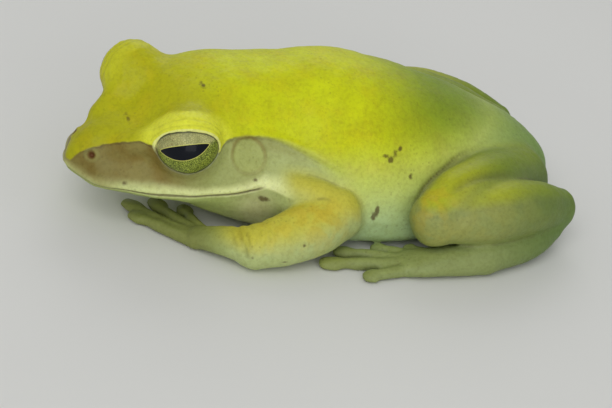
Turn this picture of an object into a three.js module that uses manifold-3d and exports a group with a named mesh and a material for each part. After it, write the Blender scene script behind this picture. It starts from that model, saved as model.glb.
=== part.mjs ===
/**
 * Tree frog at rest, life size: an adult crouched with its legs folded and its head
 * turned a little to its left. Millimetres, +Z up, the floor at Z = 0.
 * The frog faces -X and its left side is -Y. The origin is the middle of the belly's flat.
 */
import * as THREE from 'three';
import { mergeVertices } from 'three/addons/utils/BufferGeometryUtils.js';
import Module from 'manifold-3d';

const wasm = await Module();
wasm.setup();

// Driving sizes.
const GAP = 0.3; // clear width of the cut between two neighbouring parts
const MIRROR = { left: 1, right: -1 }; // the numbers below are for the left side (-Y)
const RIGHT_LEG_TUCK = 0.88; // the right hind leg lies closer to the body

const RING_SIDES = { body: 20, limb: 9, digit: 6, eye: 13, nostril: 5, eardrum: 11, ridge: 6 };
const RING_STEPS = { trunk: 12, head: 11, ridge: 2, limb: 4, digit: 5 };

// Trunk: stations from the neck to the vent, symmetric about Y = 0. A station's taper is
// how much narrower its top is than its widest level.
const TRUNK = {
  widestAt: 4.2, // height of the greatest width
  roundness: { up: 2.2, down: 4.5 }, // superellipse exponents
  stations: [
    { at: -26, half: 4.5, top: 11.5, bottom: 5.4, taper: 0.16 },
    { at: -21, half: 9.2, top: 15.6, bottom: 2.5, taper: 0.16 },
    { at: -14, half: 12.0, top: 19.2, bottom: 0.9, taper: 0.16 },
    { at: -5, half: 14.2, top: 20.4, bottom: 0.0, taper: 0.16 },
    { at: 2, half: 14.7, top: 19.2, bottom: -0.15, taper: 0.16 },
    { at: 10, half: 13.2, top: 17.0, bottom: 0.0, taper: 0.16 },
    { at: 18, half: 9.9, top: 14.1, bottom: 0.7, taper: 0.16 },
    { at: 24.5, half: 6.0, top: 10.7, bottom: 1.6, taper: 0.16 },
    { at: 27.4, half: 4.3, top: 8.2, bottom: 2.2, taper: 0.16 },
    { at: 28.6, half: 2.3, top: 6.5, bottom: 3.0, taper: 0.16 },
    { at: 29.0, half: 1.0, top: 5.6, bottom: 3.5, taper: 0.16 },
  ],
};

// Head: stations from the snout's tip back, in the head's own frame, whose origin is
// the neck and whose -X points forward. `at` is the distance behind the snout's tip.
const HEAD = {
  length: 22.6, // snout's tip to the neck's pivot
  neck: [-17.0, 0.7, 9.8],
  turn: { yaw: 15.5, pitch: -4.3, roll: 6.5 }, // degrees about Z, Y and X
  widest: { start: -0.8, drop: 0.1 }, // level of the greatest width, and its fall per millimetre
  mouth: -1.5, // height of the mouth's cut
  roundness: { up: 2.7, down: 1.9 },
  cutAt: 24.6, // where the head is parted from the trunk
  stations: [
    { at: 0, half: 0.5, top: -0.1, bottom: -1.2, taper: 0.3 },
    { at: 0.4, half: 1.35, top: 0.8, bottom: -1.85, taper: 0.4 },
    { at: 1.2, half: 2.65, top: 1.9, bottom: -2.5, taper: 0.45 },
    { at: 2.5, half: 4.75, top: 2.9, bottom: -3.5, taper: 0.5 },
    { at: 5, half: 6.6, top: 4.0, bottom: -4.1, taper: 0.61 },
    { at: 9, half: 9.1, top: 4.9, bottom: -4.2, taper: 0.5 },
    { at: 14, half: 10.8, top: 8.5, bottom: -5.4, taper: 0.14 },
    { at: 20, half: 11.2, top: 9.5, bottom: -6.7, taper: 0.16 },
    { at: 28, half: 9.8, top: 6.8, bottom: -8.0, taper: 0.12 },
    { at: 30.5, half: 7.0, top: 4.5, bottom: -6.0, taper: 0.12 },
  ],
};

// The ridge from the snout to an eye: behind the tip, out, up, then half width and half depth.
const RIDGE = [[5.4, -2.9, 1.7, 1.9, 1.9], [8.4, -4.3, 2.9, 2.5, 2.5], [11.2, -5.3, 3.7, 2.9, 2.9]];
const EYE = {
  centre: [12.25, -7.75, 5.05], // behind the snout's tip, out, up
  radius: 3.6,
  socketGap: 0.3,
  lid: 0.5, // thickness of the lids
  gazeForward: { left: 28, right: 14 }, // degrees that the opening looks forward of sideways
  gazeUp: 12,
  opening: { wide: 4.2, high: 2.9, deep: 2.4, ahead: 3.0 }, // semi-axes and place of the lids' cut
};
const NOSTRIL = { at: 2.2, height: 1.6, radius: 0.55 };
const EARDRUM = { at: 19.65, height: 3.15, radius: 2.1, rim: 0.35, dish: 0.1, lift: 0.25, sunk: 1.8 };

// Limbs: centre line X, Y, Z, then half width and half depth of the section.
const LIMB_PATHS = {
  upper_arm: [[-13.0, -9.5, 6.4, 2.8, 3.1], [-9.6, -12.6, 6.8, 2.7, 3.0], [-5.8, -14.2, 5.9, 2.7, 2.9]],
  forearm: [[-5.0, -14.0, 4.8, 2.8, 3.1], [-8.8, -15.7, 4.4, 3.5, 3.6], [-13.0, -17.1, 3.5, 3.2, 3.2],
    [-16.6, -17.4, 2.7, 2.7, 2.6]],
  palm: [[-16.6, -17.3, 2.6, 2.6, 2.3], [-19.8, -15.3, 2.2, 2.1, 1.8], [-22.6, -12.7, 1.3, 1.8, 1.2]],
  thigh: [[22.0, -6.5, 6.2, 4.2, 4.4], [16.0, -11.0, 7.6, 4.4, 4.8], [10.0, -15.2, 7.8, 4.0, 4.6],
    [6.2, -17.6, 6.8, 3.2, 3.6]],
  shank: [[6.2, -17.8, 6.6, 2.9, 2.7], [13.0, -17.3, 7.3, 3.8, 3.8], [20.0, -14.8, 6.7, 3.6, 3.8],
    [25.9, -12.2, 5.3, 2.4, 2.6]],
  tarsus: [[25.7, -12.1, 4.2, 2.3, 2.3], [23.8, -14.0, 2.9, 2.2, 2.1], [20.0, -16.9, 2.4, 2.1, 2.1],
    [14.0, -19.0, 2.1, 2.2, 2.1]],
  instep: [[13.0, -19.1, 2.0, 2.3, 2.1], [8.0, -19.3, 1.6, 2.4, 1.7], [3.5, -19.0, 1.1, 2.5, 1.2]],
};

// Digits: base, knuckle and tip of each centre line, numbered from the innermost.
const DIGIT = { stem: 0.78, pad: 1.15 };
const FINGERS = [
  [[-20.6, -13.0, 1.0], [-22.3, -9.2, 0.9], [-22.8, -5.2, 0.65]],
  [[-21.7, -12.6, 1.0], [-24.4, -8.4, 0.9], [-26.4, -3.6, 0.65]],
  [[-22.5, -12.8, 1.0], [-26.4, -8.8, 0.9], [-29.9, -3.8, 0.65]],
  [[-22.9, -13.6, 1.0], [-26.4, -10.3, 0.9], [-29.6, -6.6, 0.65]],
];
const TOES = [
  [[8.5, -18.4, 0.9], [6.4, -16.5, 0.8], [4.6, -15.0, 0.6]],
  [[5.5, -18.2, 0.9], [3.0, -16.2, 0.8], [0.2, -14.7, 0.6]],
  [[3.5, -18.2, 0.9], [-0.8, -16.7, 0.8], [-5.0, -15.4, 0.6]],
  [[3.0, -19.0, 0.9], [-2.3, -18.5, 0.8], [-7.6, -18.0, 0.6]],
  [[3.5, -20.0, 0.9], [0.5, -20.6, 0.8], [-2.7, -21.1, 0.6]],
];

const UP = new THREE.Vector3(0, 0, 1);
const BIG = 200; // larger than the frog, for cutting blocks

const COLOURS = {
  back: { color: 0xb7bd22, roughness: 0.5, metalness: 0 },
  throat: { color: 0xa9b37a, roughness: 0.55, metalness: 0 },
  limb: { color: 0xa8a94e, roughness: 0.5, metalness: 0 },
  digit: { color: 0x9ba066, roughness: 0.55, metalness: 0 },
  eye: { color: 0x7d8440, roughness: 0.15, metalness: 0 },
};

/** A monotone cubic through a station key, as a function of `at`. */
function profile(stations, key) {
  const x = stations.map((s) => s.at);
  const y = stations.map((s) => s[key]);
  const step = x.slice(1).map((v, i) => v - x[i]);
  const slope = step.map((h, i) => (y[i + 1] - y[i]) / h);
  const tangent = y.map((_, i) => {
    if (i === 0) return slope[0];
    if (i === y.length - 1) return slope[i - 1];
    const [before, after] = [slope[i - 1], slope[i]];
    if (before * after <= 0) return 0;
    const [w1, w2] = [2 * step[i] + step[i - 1], step[i] + 2 * step[i - 1]];
    return (w1 + w2) / (w1 / before + w2 / after);
  });
  return (at) => {
    const clamped = THREE.MathUtils.clamp(at, x[0], x[x.length - 1]);
    const i = x.findIndex((v, j) => j > 0 && v >= clamped) - 1;
    const t = (clamped - x[i]) / step[i];
    const [t2, t3] = [t * t, t * t * t];
    return (2 * t3 - 3 * t2 + 1) * y[i] + (t3 - 2 * t2 + t) * step[i] * tangent[i]
      + (3 * t2 - 2 * t3) * y[i + 1] + (t3 - t2) * step[i] * tangent[i + 1];
  };
}

/** A closed skin over a row of rings, with a point at each end. */
function skinOver(rings, startPoint, endPoint) {
  const sides = rings[0].length;
  const points = [...rings.flat(), startPoint, endPoint];
  const index = [];
  rings.forEach((ring, r) => {
    for (let i = 0; i < sides; i += 1) {
      const a = r * sides + i;
      const b = r * sides + ((i + 1) % sides);
      if (r === 0) index.push(points.length - 2, b, a);
      if (r === rings.length - 1) index.push(points.length - 1, a, b);
      else index.push(a, b, b + sides, a, b + sides, a + sides);
    }
  });
  const geometry = new THREE.BufferGeometry().setFromPoints(points);
  geometry.setIndex(index);
  return geometry;
}

/** A three.js geometry as a solid that can be joined and cut. */
function toSolid(geometry) {
  const bare = geometry.clone();
  bare.deleteAttribute('normal');
  bare.deleteAttribute('uv');
  const merged = mergeVertices(bare, 1e-5);
  return new wasm.Manifold(new wasm.Mesh({
    numProp: 3,
    vertProperties: new Float32Array(merged.attributes.position.array),
    triVerts: new Uint32Array(merged.index.array),
  }));
}

/** A solid back as a three.js geometry. */
function toGeometry(solid) {
  const mesh = solid.getMesh();
  const geometry = new THREE.BufferGeometry();
  geometry.setAttribute('position', new THREE.BufferAttribute(mesh.vertProperties, 3));
  geometry.setIndex(new THREE.BufferAttribute(mesh.triVerts, 1));
  geometry.computeVertexNormals();
  return geometry;
}

/** The largest piece of a cut solid, without the crumbs that a grazing cut leaves. */
function mainPiece(solid) {
  return solid.decompose().reduce((best, piece) => (piece.volume() > best.volume() ? piece : best));
}

/** One ring of a body: a superellipse, fuller below and narrowed towards the top. */
function bodyRing(x, half, middle, top, bottom, taper, roundness) {
  return Array.from({ length: RING_SIDES.body }, (_, i) => {
    const angle = (2 * Math.PI * i) / RING_SIDES.body;
    const up = Math.sin(angle) >= 0;
    const power = 2 / (up ? roundness.up : roundness.down);
    const across = Math.sign(Math.cos(angle)) * Math.abs(Math.cos(angle)) ** power;
    const rise = Math.abs(Math.sin(angle)) ** power;
    const height = up ? top - middle : bottom - middle;
    const width = half * (up ? 1 - taper * rise : 1);
    return new THREE.Vector3(x, width * across, middle + height * rise);
  });
}

/** The body of a shape with stations, made larger all round by `grow`. */
function bodyGeometry(shape, steps, middleAt, grow) {
  const keys = ['half', 'top', 'bottom', 'taper'];
  const [half, top, bottom, taper] = keys.map((key) => profile(shape.stations, key));
  const first = shape.stations[0].at;
  const last = shape.stations[shape.stations.length - 1].at;
  const rings = Array.from({ length: steps + 1 }, (_, i) => {
    const at = first + (last - first) * 0.5 * (1 - Math.cos((Math.PI * i) / steps));
    return bodyRing(at, half(at) + grow, middleAt(at), top(at) + grow, bottom(at) - grow,
      taper(at), shape.roundness);
  });
  const end = (at, outward) => new THREE.Vector3(at + outward, 0, middleAt(at));
  return skinOver(rings, end(first, -0.2 - grow), end(last, 0.2 + grow));
}

const widestLevel = (at) => HEAD.widest.start - HEAD.widest.drop * at;

/** The head's own frame: from its axes to the frog's. */
function headMatrix() {
  const { yaw, pitch, roll } = HEAD.turn;
  const [x, y, z] = [roll, pitch, yaw].map(THREE.MathUtils.degToRad);
  const matrix = new THREE.Matrix4().makeRotationFromEuler(new THREE.Euler(x, y, z, 'ZYX'));
  return matrix.setPosition(new THREE.Vector3(...HEAD.neck));
}

/** The half width of the head's upper side at a station and a height. */
function headHalfWidth(at, height) {
  const [half, top, taper] = ['half', 'top', 'taper'].map((key) => profile(HEAD.stations, key)(at));
  const rise = (height - widestLevel(at)) / (top - widestLevel(at));
  const { up } = HEAD.roundness;
  return half * (1 - taper * rise) * (1 - rise ** up) ** (1 / up);
}

/** A block that reaches far to the positive side of a local axis plane at `from`. */
function block(axis, from, direction) {
  const geometry = new THREE.BoxGeometry(BIG, BIG, BIG);
  const offset = new THREE.Vector3();
  offset[axis] = from + (direction * BIG) / 2;
  return geometry.translate(offset.x, offset.y, offset.z);
}

/** A side's copy, in the head's frame, of a point given for the left from the snout's tip. */
const onSide = ([at, y, z], side) => new THREE.Vector3(at - HEAD.length, y * MIRROR[side], z);

/** The cut between the lids: an ellipsoid ahead of the eyeball, in the head's frame. */
function lidOpening(side) {
  const { wide, high, deep, ahead } = EYE.opening;
  const forward = THREE.MathUtils.degToRad(EYE.gazeForward[side]);
  const up = THREE.MathUtils.degToRad(EYE.gazeUp);
  const out = -MIRROR[side];
  const gaze = new THREE.Vector3(
    -Math.sin(forward) * Math.cos(up), out * Math.cos(forward) * Math.cos(up), Math.sin(up));
  const centre = onSide(EYE.centre, side);
  const cut = new THREE.SphereGeometry(1, RING_SIDES.eye, 10).scale(wide, high, deep);
  cut.applyMatrix4(new THREE.Matrix4().lookAt(gaze, new THREE.Vector3(), UP));
  centre.addScaledVector(gaze, ahead);
  return toSolid(cut.translate(centre.x, centre.y, centre.z));
}

/** A sphere as a solid. */
function ball(centre, radius, sides = RING_SIDES.eye) {
  const geometry = new THREE.SphereGeometry(radius, sides, Math.round(sides * 0.7));
  return toSolid(geometry.translate(centre.x, centre.y, centre.z));
}

/** An eardrum: a dished disc with a raised rim, sunk in the side of the head. */
function eardrum(side) {
  const { at, height, radius, rim, dish, lift, sunk } = EARDRUM;
  const wall = (a, h) => onSide([a, -headHalfWidth(a, h), h], side);
  const centre = wall(at, height);
  const along = wall(at + 1, height).sub(centre);
  const across = wall(at, height + 1).sub(centre);
  const normal = along.cross(across).normalize();
  if (normal.y * MIRROR[side] > 0) normal.negate();
  centre.addScaledVector(normal, lift);
  const outline = [[0, -sunk], [radius, -sunk], [radius + rim / 2, 0], [radius, rim],
    [radius - rim, rim], [radius - 2 * rim, dish], [0, dish]];
  const disc = new THREE.LatheGeometry(outline.map((p) => new THREE.Vector2(...p)), RING_SIDES.eardrum);
  disc.applyQuaternion(new THREE.Quaternion().setFromUnitVectors(new THREE.Vector3(0, 1, 0), normal));
  return toSolid(disc.translate(centre.x, centre.y, centre.z));
}

/** Head and trunk as one solid, before it is parted; `grow` makes a copy that is larger all round. */
function wholeBody(grow = 0) {
  const trunk = toSolid(bodyGeometry(TRUNK, RING_STEPS.trunk, () => TRUNK.widestAt, grow));
  const headGeometry = bodyGeometry(HEAD, RING_STEPS.head, widestLevel, grow);
  const head = toSolid(headGeometry.translate(-HEAD.length, 0, 0).applyMatrix4(headMatrix()));
  return trunk.add(head);
}

/** The ridge between the snout and an eye, in the head's frame. */
function ridge(side) {
  const path = RIDGE.map(([at, y, z, ...sizes]) => [...onSide([at, y, z], side), ...sizes]);
  return toSolid(limbGeometry(path, 0, RING_SIDES.ridge, RING_STEPS.ridge, limbSizes(path)));
}

/** Ridges, lids, sockets, nostrils and eardrums worked into the body. */
function dressedBody() {
  const matrix = headMatrix();
  const inFrog = (solid) => toSolid(toGeometry(solid).applyMatrix4(matrix));
  const socket = EYE.radius + EYE.socketGap;
  let body = wholeBody();
  Object.keys(MIRROR).forEach((side) => {
    const centre = onSide(EYE.centre, side);
    body = body.add(inFrog(ball(centre, socket + EYE.lid)));
    body = body.add(inFrog(ridge(side)));
    body = body.add(inFrog(eardrum(side)));
  });
  Object.keys(MIRROR).forEach((side) => {
    const { at, height, radius } = NOSTRIL;
    const nostril = onSide([at, -headHalfWidth(at, height), height], side);
    body = body.subtract(inFrog(ball(onSide(EYE.centre, side), socket)));
    body = body.subtract(inFrog(lidOpening(side)));
    body = body.subtract(inFrog(ball(nostril, radius, RING_SIDES.nostril)));
  });
  return body;
}

/** A limb's closed tube along its path, rounded at both ends. */
function limbGeometry(path, grow, sides, steps, sizeAt) {
  const line = new THREE.CatmullRomCurve3(path.map((p) => new THREE.Vector3(p[0], p[1], p[2])),
    false, 'catmullrom', 0.5);
  const ringAt = (t, shift, shrink) => {
    const forward = line.getTangent(t);
    const rise = UP.clone().addScaledVector(forward, -UP.dot(forward)).normalize();
    const across = new THREE.Vector3().crossVectors(rise, forward);
    const [half, depth] = sizeAt(t).map((size) => size + grow);
    const centre = line.getPoint(t).addScaledVector(forward, shift * Math.min(half, depth));
    return Array.from({ length: sides }, (_, i) => {
      const angle = (2 * Math.PI * i) / sides;
      return centre.clone().addScaledVector(across, half * shrink * Math.cos(angle))
        .addScaledVector(rise, depth * shrink * Math.sin(angle));
    });
  };
  const cap = (t, direction, capAngles) => capAngles.map((degrees) => {
    const angle = THREE.MathUtils.degToRad(degrees);
    return ringAt(t, direction * Math.sin(angle), Math.cos(angle));
  });
  const middle = Array.from({ length: steps + 1 }, (_, i) => ringAt(i / steps, 0, 1));
  const endAngles = sides > RING_SIDES.digit ? [30, 62] : [45];
  const rings = [...cap(0, -1, [45]), ...middle, ...cap(1, 1, endAngles)];
  const tip = (t, direction) => ringAt(t, direction, 0)[0];
  return skinOver(rings, tip(0, -1), tip(1, 1));
}

/** Section sizes of a limb, smoothed between the points of its path. */
function limbSizes(path) {
  const curve = new THREE.CatmullRomCurve3(path.map((p) => new THREE.Vector3(p[3], p[4], 0)),
    false, 'catmullrom', 0.5);
  return (t) => curve.getPoint(t).toArray().slice(0, 2);
}

/** Section sizes of a digit: a slim stem that ends in a flat round pad. */
function digitSizes() {
  const { stem, pad } = DIGIT;
  const stations = [
    { at: 0, half: stem * 1.12, depth: stem * 1.1 },
    { at: 0.35, half: stem, depth: stem },
    { at: 0.7, half: stem * 0.85, depth: stem * 0.9 },
    { at: 0.86, half: pad, depth: stem * 0.95 },
    { at: 1, half: pad * 0.8, depth: stem * 0.7 },
  ];
  const [half, depth] = ['half', 'depth'].map((key) => profile(stations, key));
  return (t) => [half(t), depth(t)];
}

const aboveFloor = toSolid(block('z', 0, 1));

/** Limb pieces of one side, each cut clear of the body and of the pieces before it. */
function limbParts(side, names, digits, digitName, bodyKeepOut, tuck) {
  const place = (points) => points.map(([x, y, z, ...sizes]) => [x, y * MIRROR[side] * tuck, z, ...sizes]);
  const pieces = names.map((name) => {
    const path = place(LIMB_PATHS[name]);
    return { name, path, sides: RING_SIDES.limb, steps: RING_STEPS.limb, sizes: limbSizes(path) };
  });
  digits.forEach((points, i) => {
    const path = place(points);
    const name = `${digitName}_${i + 1}`;
    pieces.push({ name, path, sides: RING_SIDES.digit, steps: RING_STEPS.digit, sizes: digitSizes() });
  });
  let keepOut = bodyKeepOut;
  return pieces.map(({ name, path, sides, steps, sizes }) => {
    const make = (grow) => toSolid(limbGeometry(path, grow, sides, steps, sizes));
    const solid = make(0).intersect(aboveFloor).subtract(keepOut);
    keepOut = keepOut.add(make(GAP));
    return { name: `${side}_${name}`, solid };
  });
}

/** Head, lower jaw and trunk, parted by the mouth's cut and the neck's cut. */
function bodyParts() {
  const matrix = headMatrix();
  const body = dressedBody().intersect(aboveFloor);
  const inFrog = (geometry) => toSolid(geometry.applyMatrix4(matrix));
  const neck = HEAD.cutAt - HEAD.length;
  const front = body.intersect(inFrog(block('x', neck, -1)));
  const mouth = (direction) => block('z', HEAD.mouth + (direction * GAP) / 2, direction);
  return [
    { name: 'trunk', solid: body.intersect(inFrog(block('x', neck + GAP, 1))) },
    { name: 'head', solid: front.intersect(inFrog(mouth(1))) },
    { name: 'lower_jaw', solid: front.intersect(inFrog(mouth(-1))) },
  ];
}

/** The eyeballs, each a little proud of its lids. */
function eyeParts() {
  return Object.keys(MIRROR).map((side) => {
    const centre = onSide(EYE.centre, side).applyMatrix4(headMatrix());
    return { name: `${side}_eye`, solid: ball(centre, EYE.radius) };
  });
}

/** The look of a part, by its name. */
function materialFor(name) {
  const kinds = [['eye', 'eye'], ['jaw', 'throat'], ['finger', 'digit'], ['toe', 'digit'],
    ['trunk', 'back'], ['head', 'back']];
  const [, kind] = kinds.find(([word]) => name.includes(word)) ?? [null, 'limb'];
  return new THREE.MeshStandardMaterial(COLOURS[kind]);
}

const keepOut = wholeBody(GAP);
const arms = Object.keys(MIRROR).flatMap((side) =>
  limbParts(side, ['upper_arm', 'forearm', 'palm'], FINGERS, 'finger', keepOut, 1));
const legs = Object.keys(MIRROR).flatMap((side) =>
  limbParts(side, ['thigh', 'shank', 'tarsus', 'instep'], TOES, 'toe', keepOut,
    side === 'right' ? RIGHT_LEG_TUCK : 1));

const frog = new THREE.Group();
frog.name = 'tree_frog';
[...bodyParts(), ...eyeParts(), ...arms, ...legs].forEach(({ name, solid }) => {
  const mesh = new THREE.Mesh(toGeometry(mainPiece(solid)), materialFor(name));
  mesh.name = name;
  frog.add(mesh);
});

export default frog;
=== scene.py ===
"""A tree frog at rest, life size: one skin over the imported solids, two eyes, a plain studio.

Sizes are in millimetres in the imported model's own frame, and meshes are made in metres.
The frog faces -X and its left side is -Y. The floor is at Z = 0.
"""
from __future__ import annotations

import logging
import math
from dataclasses import dataclass, field
from enum import Enum

import bpy
import numpy as np
from mathutils import Matrix, Vector


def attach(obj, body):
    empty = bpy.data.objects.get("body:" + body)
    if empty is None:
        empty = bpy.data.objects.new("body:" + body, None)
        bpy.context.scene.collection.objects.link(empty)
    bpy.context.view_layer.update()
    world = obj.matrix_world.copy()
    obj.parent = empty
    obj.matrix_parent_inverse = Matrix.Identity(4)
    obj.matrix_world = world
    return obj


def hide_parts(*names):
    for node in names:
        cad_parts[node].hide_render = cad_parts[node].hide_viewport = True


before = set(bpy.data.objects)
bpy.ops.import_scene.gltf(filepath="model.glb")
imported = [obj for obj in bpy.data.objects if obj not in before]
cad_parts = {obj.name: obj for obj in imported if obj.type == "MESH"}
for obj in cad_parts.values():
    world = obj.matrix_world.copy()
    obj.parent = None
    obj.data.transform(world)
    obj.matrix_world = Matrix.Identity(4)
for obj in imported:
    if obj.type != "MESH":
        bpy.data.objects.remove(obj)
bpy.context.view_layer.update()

MM = 0.001
SEED = 11
THINNEST = 0.05  # no section is thinner, so that nothing is divided by zero
RIGHT_LEG_TUCK = 0.88  # its distance from the middle, as a share of the left leg's
UP = np.array([0.0, 0.0, 1.0])
LOG = logging.getLogger("tree_frog")

Array = np.ndarray
Pair = tuple[Array, Array]
Socket = bpy.types.NodeSocket
Place = tuple[float, float, float]
Colour = tuple[float, float, float]
Table = tuple[tuple[float, float], ...]  # rows of a place and the value there


class Side(Enum):
    """The frog's two sides, as the sign that their Y has beside the left's numbers."""

    LEFT = 1.0
    RIGHT = -1.0


class Region(Enum):
    """The parts of the body that the skin is coloured by."""

    TRUNK = "trunk"
    HEAD = "head"
    UPPER_ARM = "upper_arm"
    FOREARM = "forearm"
    HAND = "hand"
    THIGH = "thigh"
    SHANK = "shank"
    FOOT = "foot"


# ---------------------------------------------------------------- small mathematics


def ramp(low: float, high: float, value: Array) -> Array:
    """A smooth step from 0 at `low` to 1 at `high`.

    Args:
        low: Where the step starts. It may be above `high`, for a falling step.
        high: Where it ends.
        value: What is stepped.

    Returns:
        The step, 0 to 1.
    """
    t = np.clip((value - low) / (high - low), 0.0, 1.0)
    return t * t * (3.0 - 2.0 * t)


def bell(value: Array, centre: float, width: float) -> Array:
    """A round ridge of height 1 at `centre`, about as wide as `width` to each side."""
    return np.exp(-(((value - centre) / width) ** 2))


def melt_together(a: Array, b: Array, reach: Array | float) -> Array:
    """The lesser of two distances, rounded where they are within `reach` of each other."""
    near = np.maximum(reach - np.abs(a - b), 0.0) / reach
    return np.minimum(a, b) - near * near * reach * 0.25


def cut_away(a: Array, b: Array, reach: float) -> Array:
    """The greater of two distances, with the edge rounded over `reach`."""
    return -melt_together(-a, -b, reach)


def read_table(table: Table, at: Array) -> Array:
    """The values at places, straight from row to row of a table."""
    rows = np.array(table)
    return np.interp(at, rows[:, 0], rows[:, 1])


def monotone_table(at: Array, value: Array, samples: int) -> Pair:
    """A monotone cubic through stations, as a dense table.

    Args:
        at: The stations, rising.
        value: The value at each station.
        samples: Rows of the table.

    Returns:
        The table's places and its values.
    """
    step = np.diff(at)
    slope = np.diff(value) / step
    tangent = np.zeros_like(value)
    tangent[0], tangent[-1] = slope[0], slope[-1]
    w1, w2 = 2 * step[1:] + step[:-1], step[1:] + 2 * step[:-1]
    rising = slope[:-1] * slope[1:] > 0
    safe_before = np.where(rising, slope[:-1], 1.0)
    safe_after = np.where(rising, slope[1:], 1.0)
    tangent[1:-1] = np.where(rising, (w1 + w2) / (w1 / safe_before + w2 / safe_after), 0.0)
    x = np.linspace(at[0], at[-1], samples)
    i = np.clip(np.searchsorted(at, x, side="right") - 1, 0, len(step) - 1)
    t = (x - at[i]) / step[i]
    t2, t3 = t * t, t * t * t
    y = (
        (2 * t3 - 3 * t2 + 1) * value[i]
        + (t3 - 2 * t2 + t) * step[i] * tangent[i]
        + (3 * t2 - 2 * t3) * value[i + 1]
        + (t3 - t2) * step[i] * tangent[i + 1]
    )
    return x, y


def smooth_path(points: Array, samples: int) -> Array:
    """A curve through points of any number of columns, with `samples` rows.

    Args:
        points: The points that it passes through.
        samples: Rows of the result, at least two.

    Returns:
        The curve's rows.
    """
    padded = np.vstack([2 * points[0] - points[1], points, 2 * points[-1] - points[-2]])
    u = np.linspace(0, len(points) - 1, samples)
    i = np.minimum(u.astype(int), len(points) - 2)
    t = (u - i)[:, None]
    p0, p1, p2, p3 = (padded[i + j] for j in range(4))
    return 0.5 * (
        2 * p1 + (p2 - p0) * t + (2 * p0 - 5 * p1 + 4 * p2 - p3) * t**2
        + (3 * p1 - p0 - 3 * p2 + p3) * t**3
    )


def distance_to_line(points: Array, line: Array) -> Pair:
    """The distance in a plane from points to a line of many short steps.

    Args:
        points: Places in the plane, (n, 2).
        line: The line's points, (m, 2), in order.

    Returns:
        The distance, positive on the line's left-hand side, and how far along it is, 0 to 1.
    """
    start, step = line[:-1], np.diff(line, axis=0)
    best = np.full(len(points), 1e9)
    side = np.ones(len(points))
    along = np.zeros(len(points))
    for i, (a, d) in enumerate(zip(start, step)):
        q = points - a
        t = np.clip(q @ d / (d @ d), 0.0, 1.0)
        away = np.hypot(q[:, 0] - t * d[0], q[:, 1] - t * d[1])
        nearer = away < best
        best = np.where(nearer, away, best)
        side = np.where(nearer, np.sign(d[0] * q[:, 1] - d[1] * q[:, 0]), side)
        along = np.where(nearer, (i + t) / len(step), along)
    return best * side, along


def waves(points: Array, wavelength: float, seed: int, count: int = 9) -> Array:
    """A soft random field made of plane waves in random directions.

    Args:
        points: Places, (n, 3).
        wavelength: About how far it is from one swell to the next.
        seed: What the directions are drawn from.
        count: How many waves are summed.

    Returns:
        Values of about -1 to 1.
    """
    random = np.random.default_rng(SEED + seed)
    total = np.zeros(len(points))
    for _ in range(count):
        direction = random.normal(size=3)
        direction *= random.uniform(0.7, 1.4) * 2 * math.pi / wavelength / np.linalg.norm(direction)
        total += np.sin(points @ direction + random.uniform(0, 2 * math.pi))
    return total / math.sqrt(count)


# ---------------------------------------------------------------- shapes


@dataclass(frozen=True)
class Swell:
    """A rounded ridge along a coordinate, or a groove where its height is below zero."""

    height: float
    at: float
    width: float

    def over(self, value: Array) -> Array:
        """Its height at places, given by their coordinate."""
        return self.height * bell(value, self.at, self.width)


def relief_of(swells: tuple[Swell, ...], value: Array) -> Array:
    """The height of several ridges and grooves together."""
    return sum(swell.over(value) for swell in swells)


@dataclass
class Station:
    """One cross section of a body shape."""

    at: float
    half: float
    top: float
    bottom: float
    taper: float  # how much narrower it is at its top


@dataclass
class Loft:
    """A body shape along X: superellipses that are fuller below and narrower above."""

    stations: tuple[Station, ...]
    middle: tuple[float, float]  # height of the widest level, and its rise per millimetre
    round_up: float  # the superellipse's power above that level
    round_down: float  # and below it
    tables: dict[str, Pair] = field(default_factory=dict)

    def __post_init__(self) -> None:
        """Makes the tables of the sizes along the shape."""
        at = np.array([s.at for s in self.stations], float)
        for key in ("half", "top", "bottom", "taper"):
            value = np.array([getattr(s, key) for s in self.stations], float)
            self.tables[key] = monotone_table(at, value, 600)

    def size(self, key: str, at: Array) -> Array:
        """The size named `key` at places along the shape."""
        return np.interp(at, *self.tables[key])

    def distance(self, p: Array) -> Array:
        """The distance to the shape's surface, exact on it and nearly so close by.

        Args:
            p: Points, (n, 3).

        Returns:
            Signed distances, negative inside.
        """
        x, y, z = p.T
        middle = self.middle[0] + self.middle[1] * x
        top, bottom = self.size("top", x), self.size("bottom", x)
        upper = z > middle
        room = np.maximum(np.where(upper, top - middle, middle - bottom), THINNEST)
        rise = np.abs(z - middle) / room
        narrowing = np.where(upper, 1 - self.size("taper", x) * np.minimum(rise, 1.3), 1.0)
        half = np.maximum(self.size("half", x) * narrowing, THINNEST)
        power = np.where(upper, self.round_up, self.round_down)
        k = ((np.abs(y) / half) ** power + rise**power) ** (1 / power)
        radius = np.hypot(y, z - middle)
        d = (k - 1) * np.maximum(radius / np.maximum(k, 1e-3), 0.3) * 0.85
        d = np.maximum(d, -np.minimum(half, room))
        past = np.maximum(self.stations[0].at - x, 0) + np.maximum(x - self.stations[-1].at, 0)
        return np.where(past > 0, np.hypot(np.maximum(d, 0), past), d)

    def box(self) -> Pair:
        """The box round the shape.

        Returns:
            Its lowest and highest corners.
        """
        first, last = self.stations[0].at, self.stations[-1].at
        half = max(s.half for s in self.stations)
        low = np.array([first, -half, min(s.bottom for s in self.stations)])
        return low, np.array([last, half, max(s.top for s in self.stations)])


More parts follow.
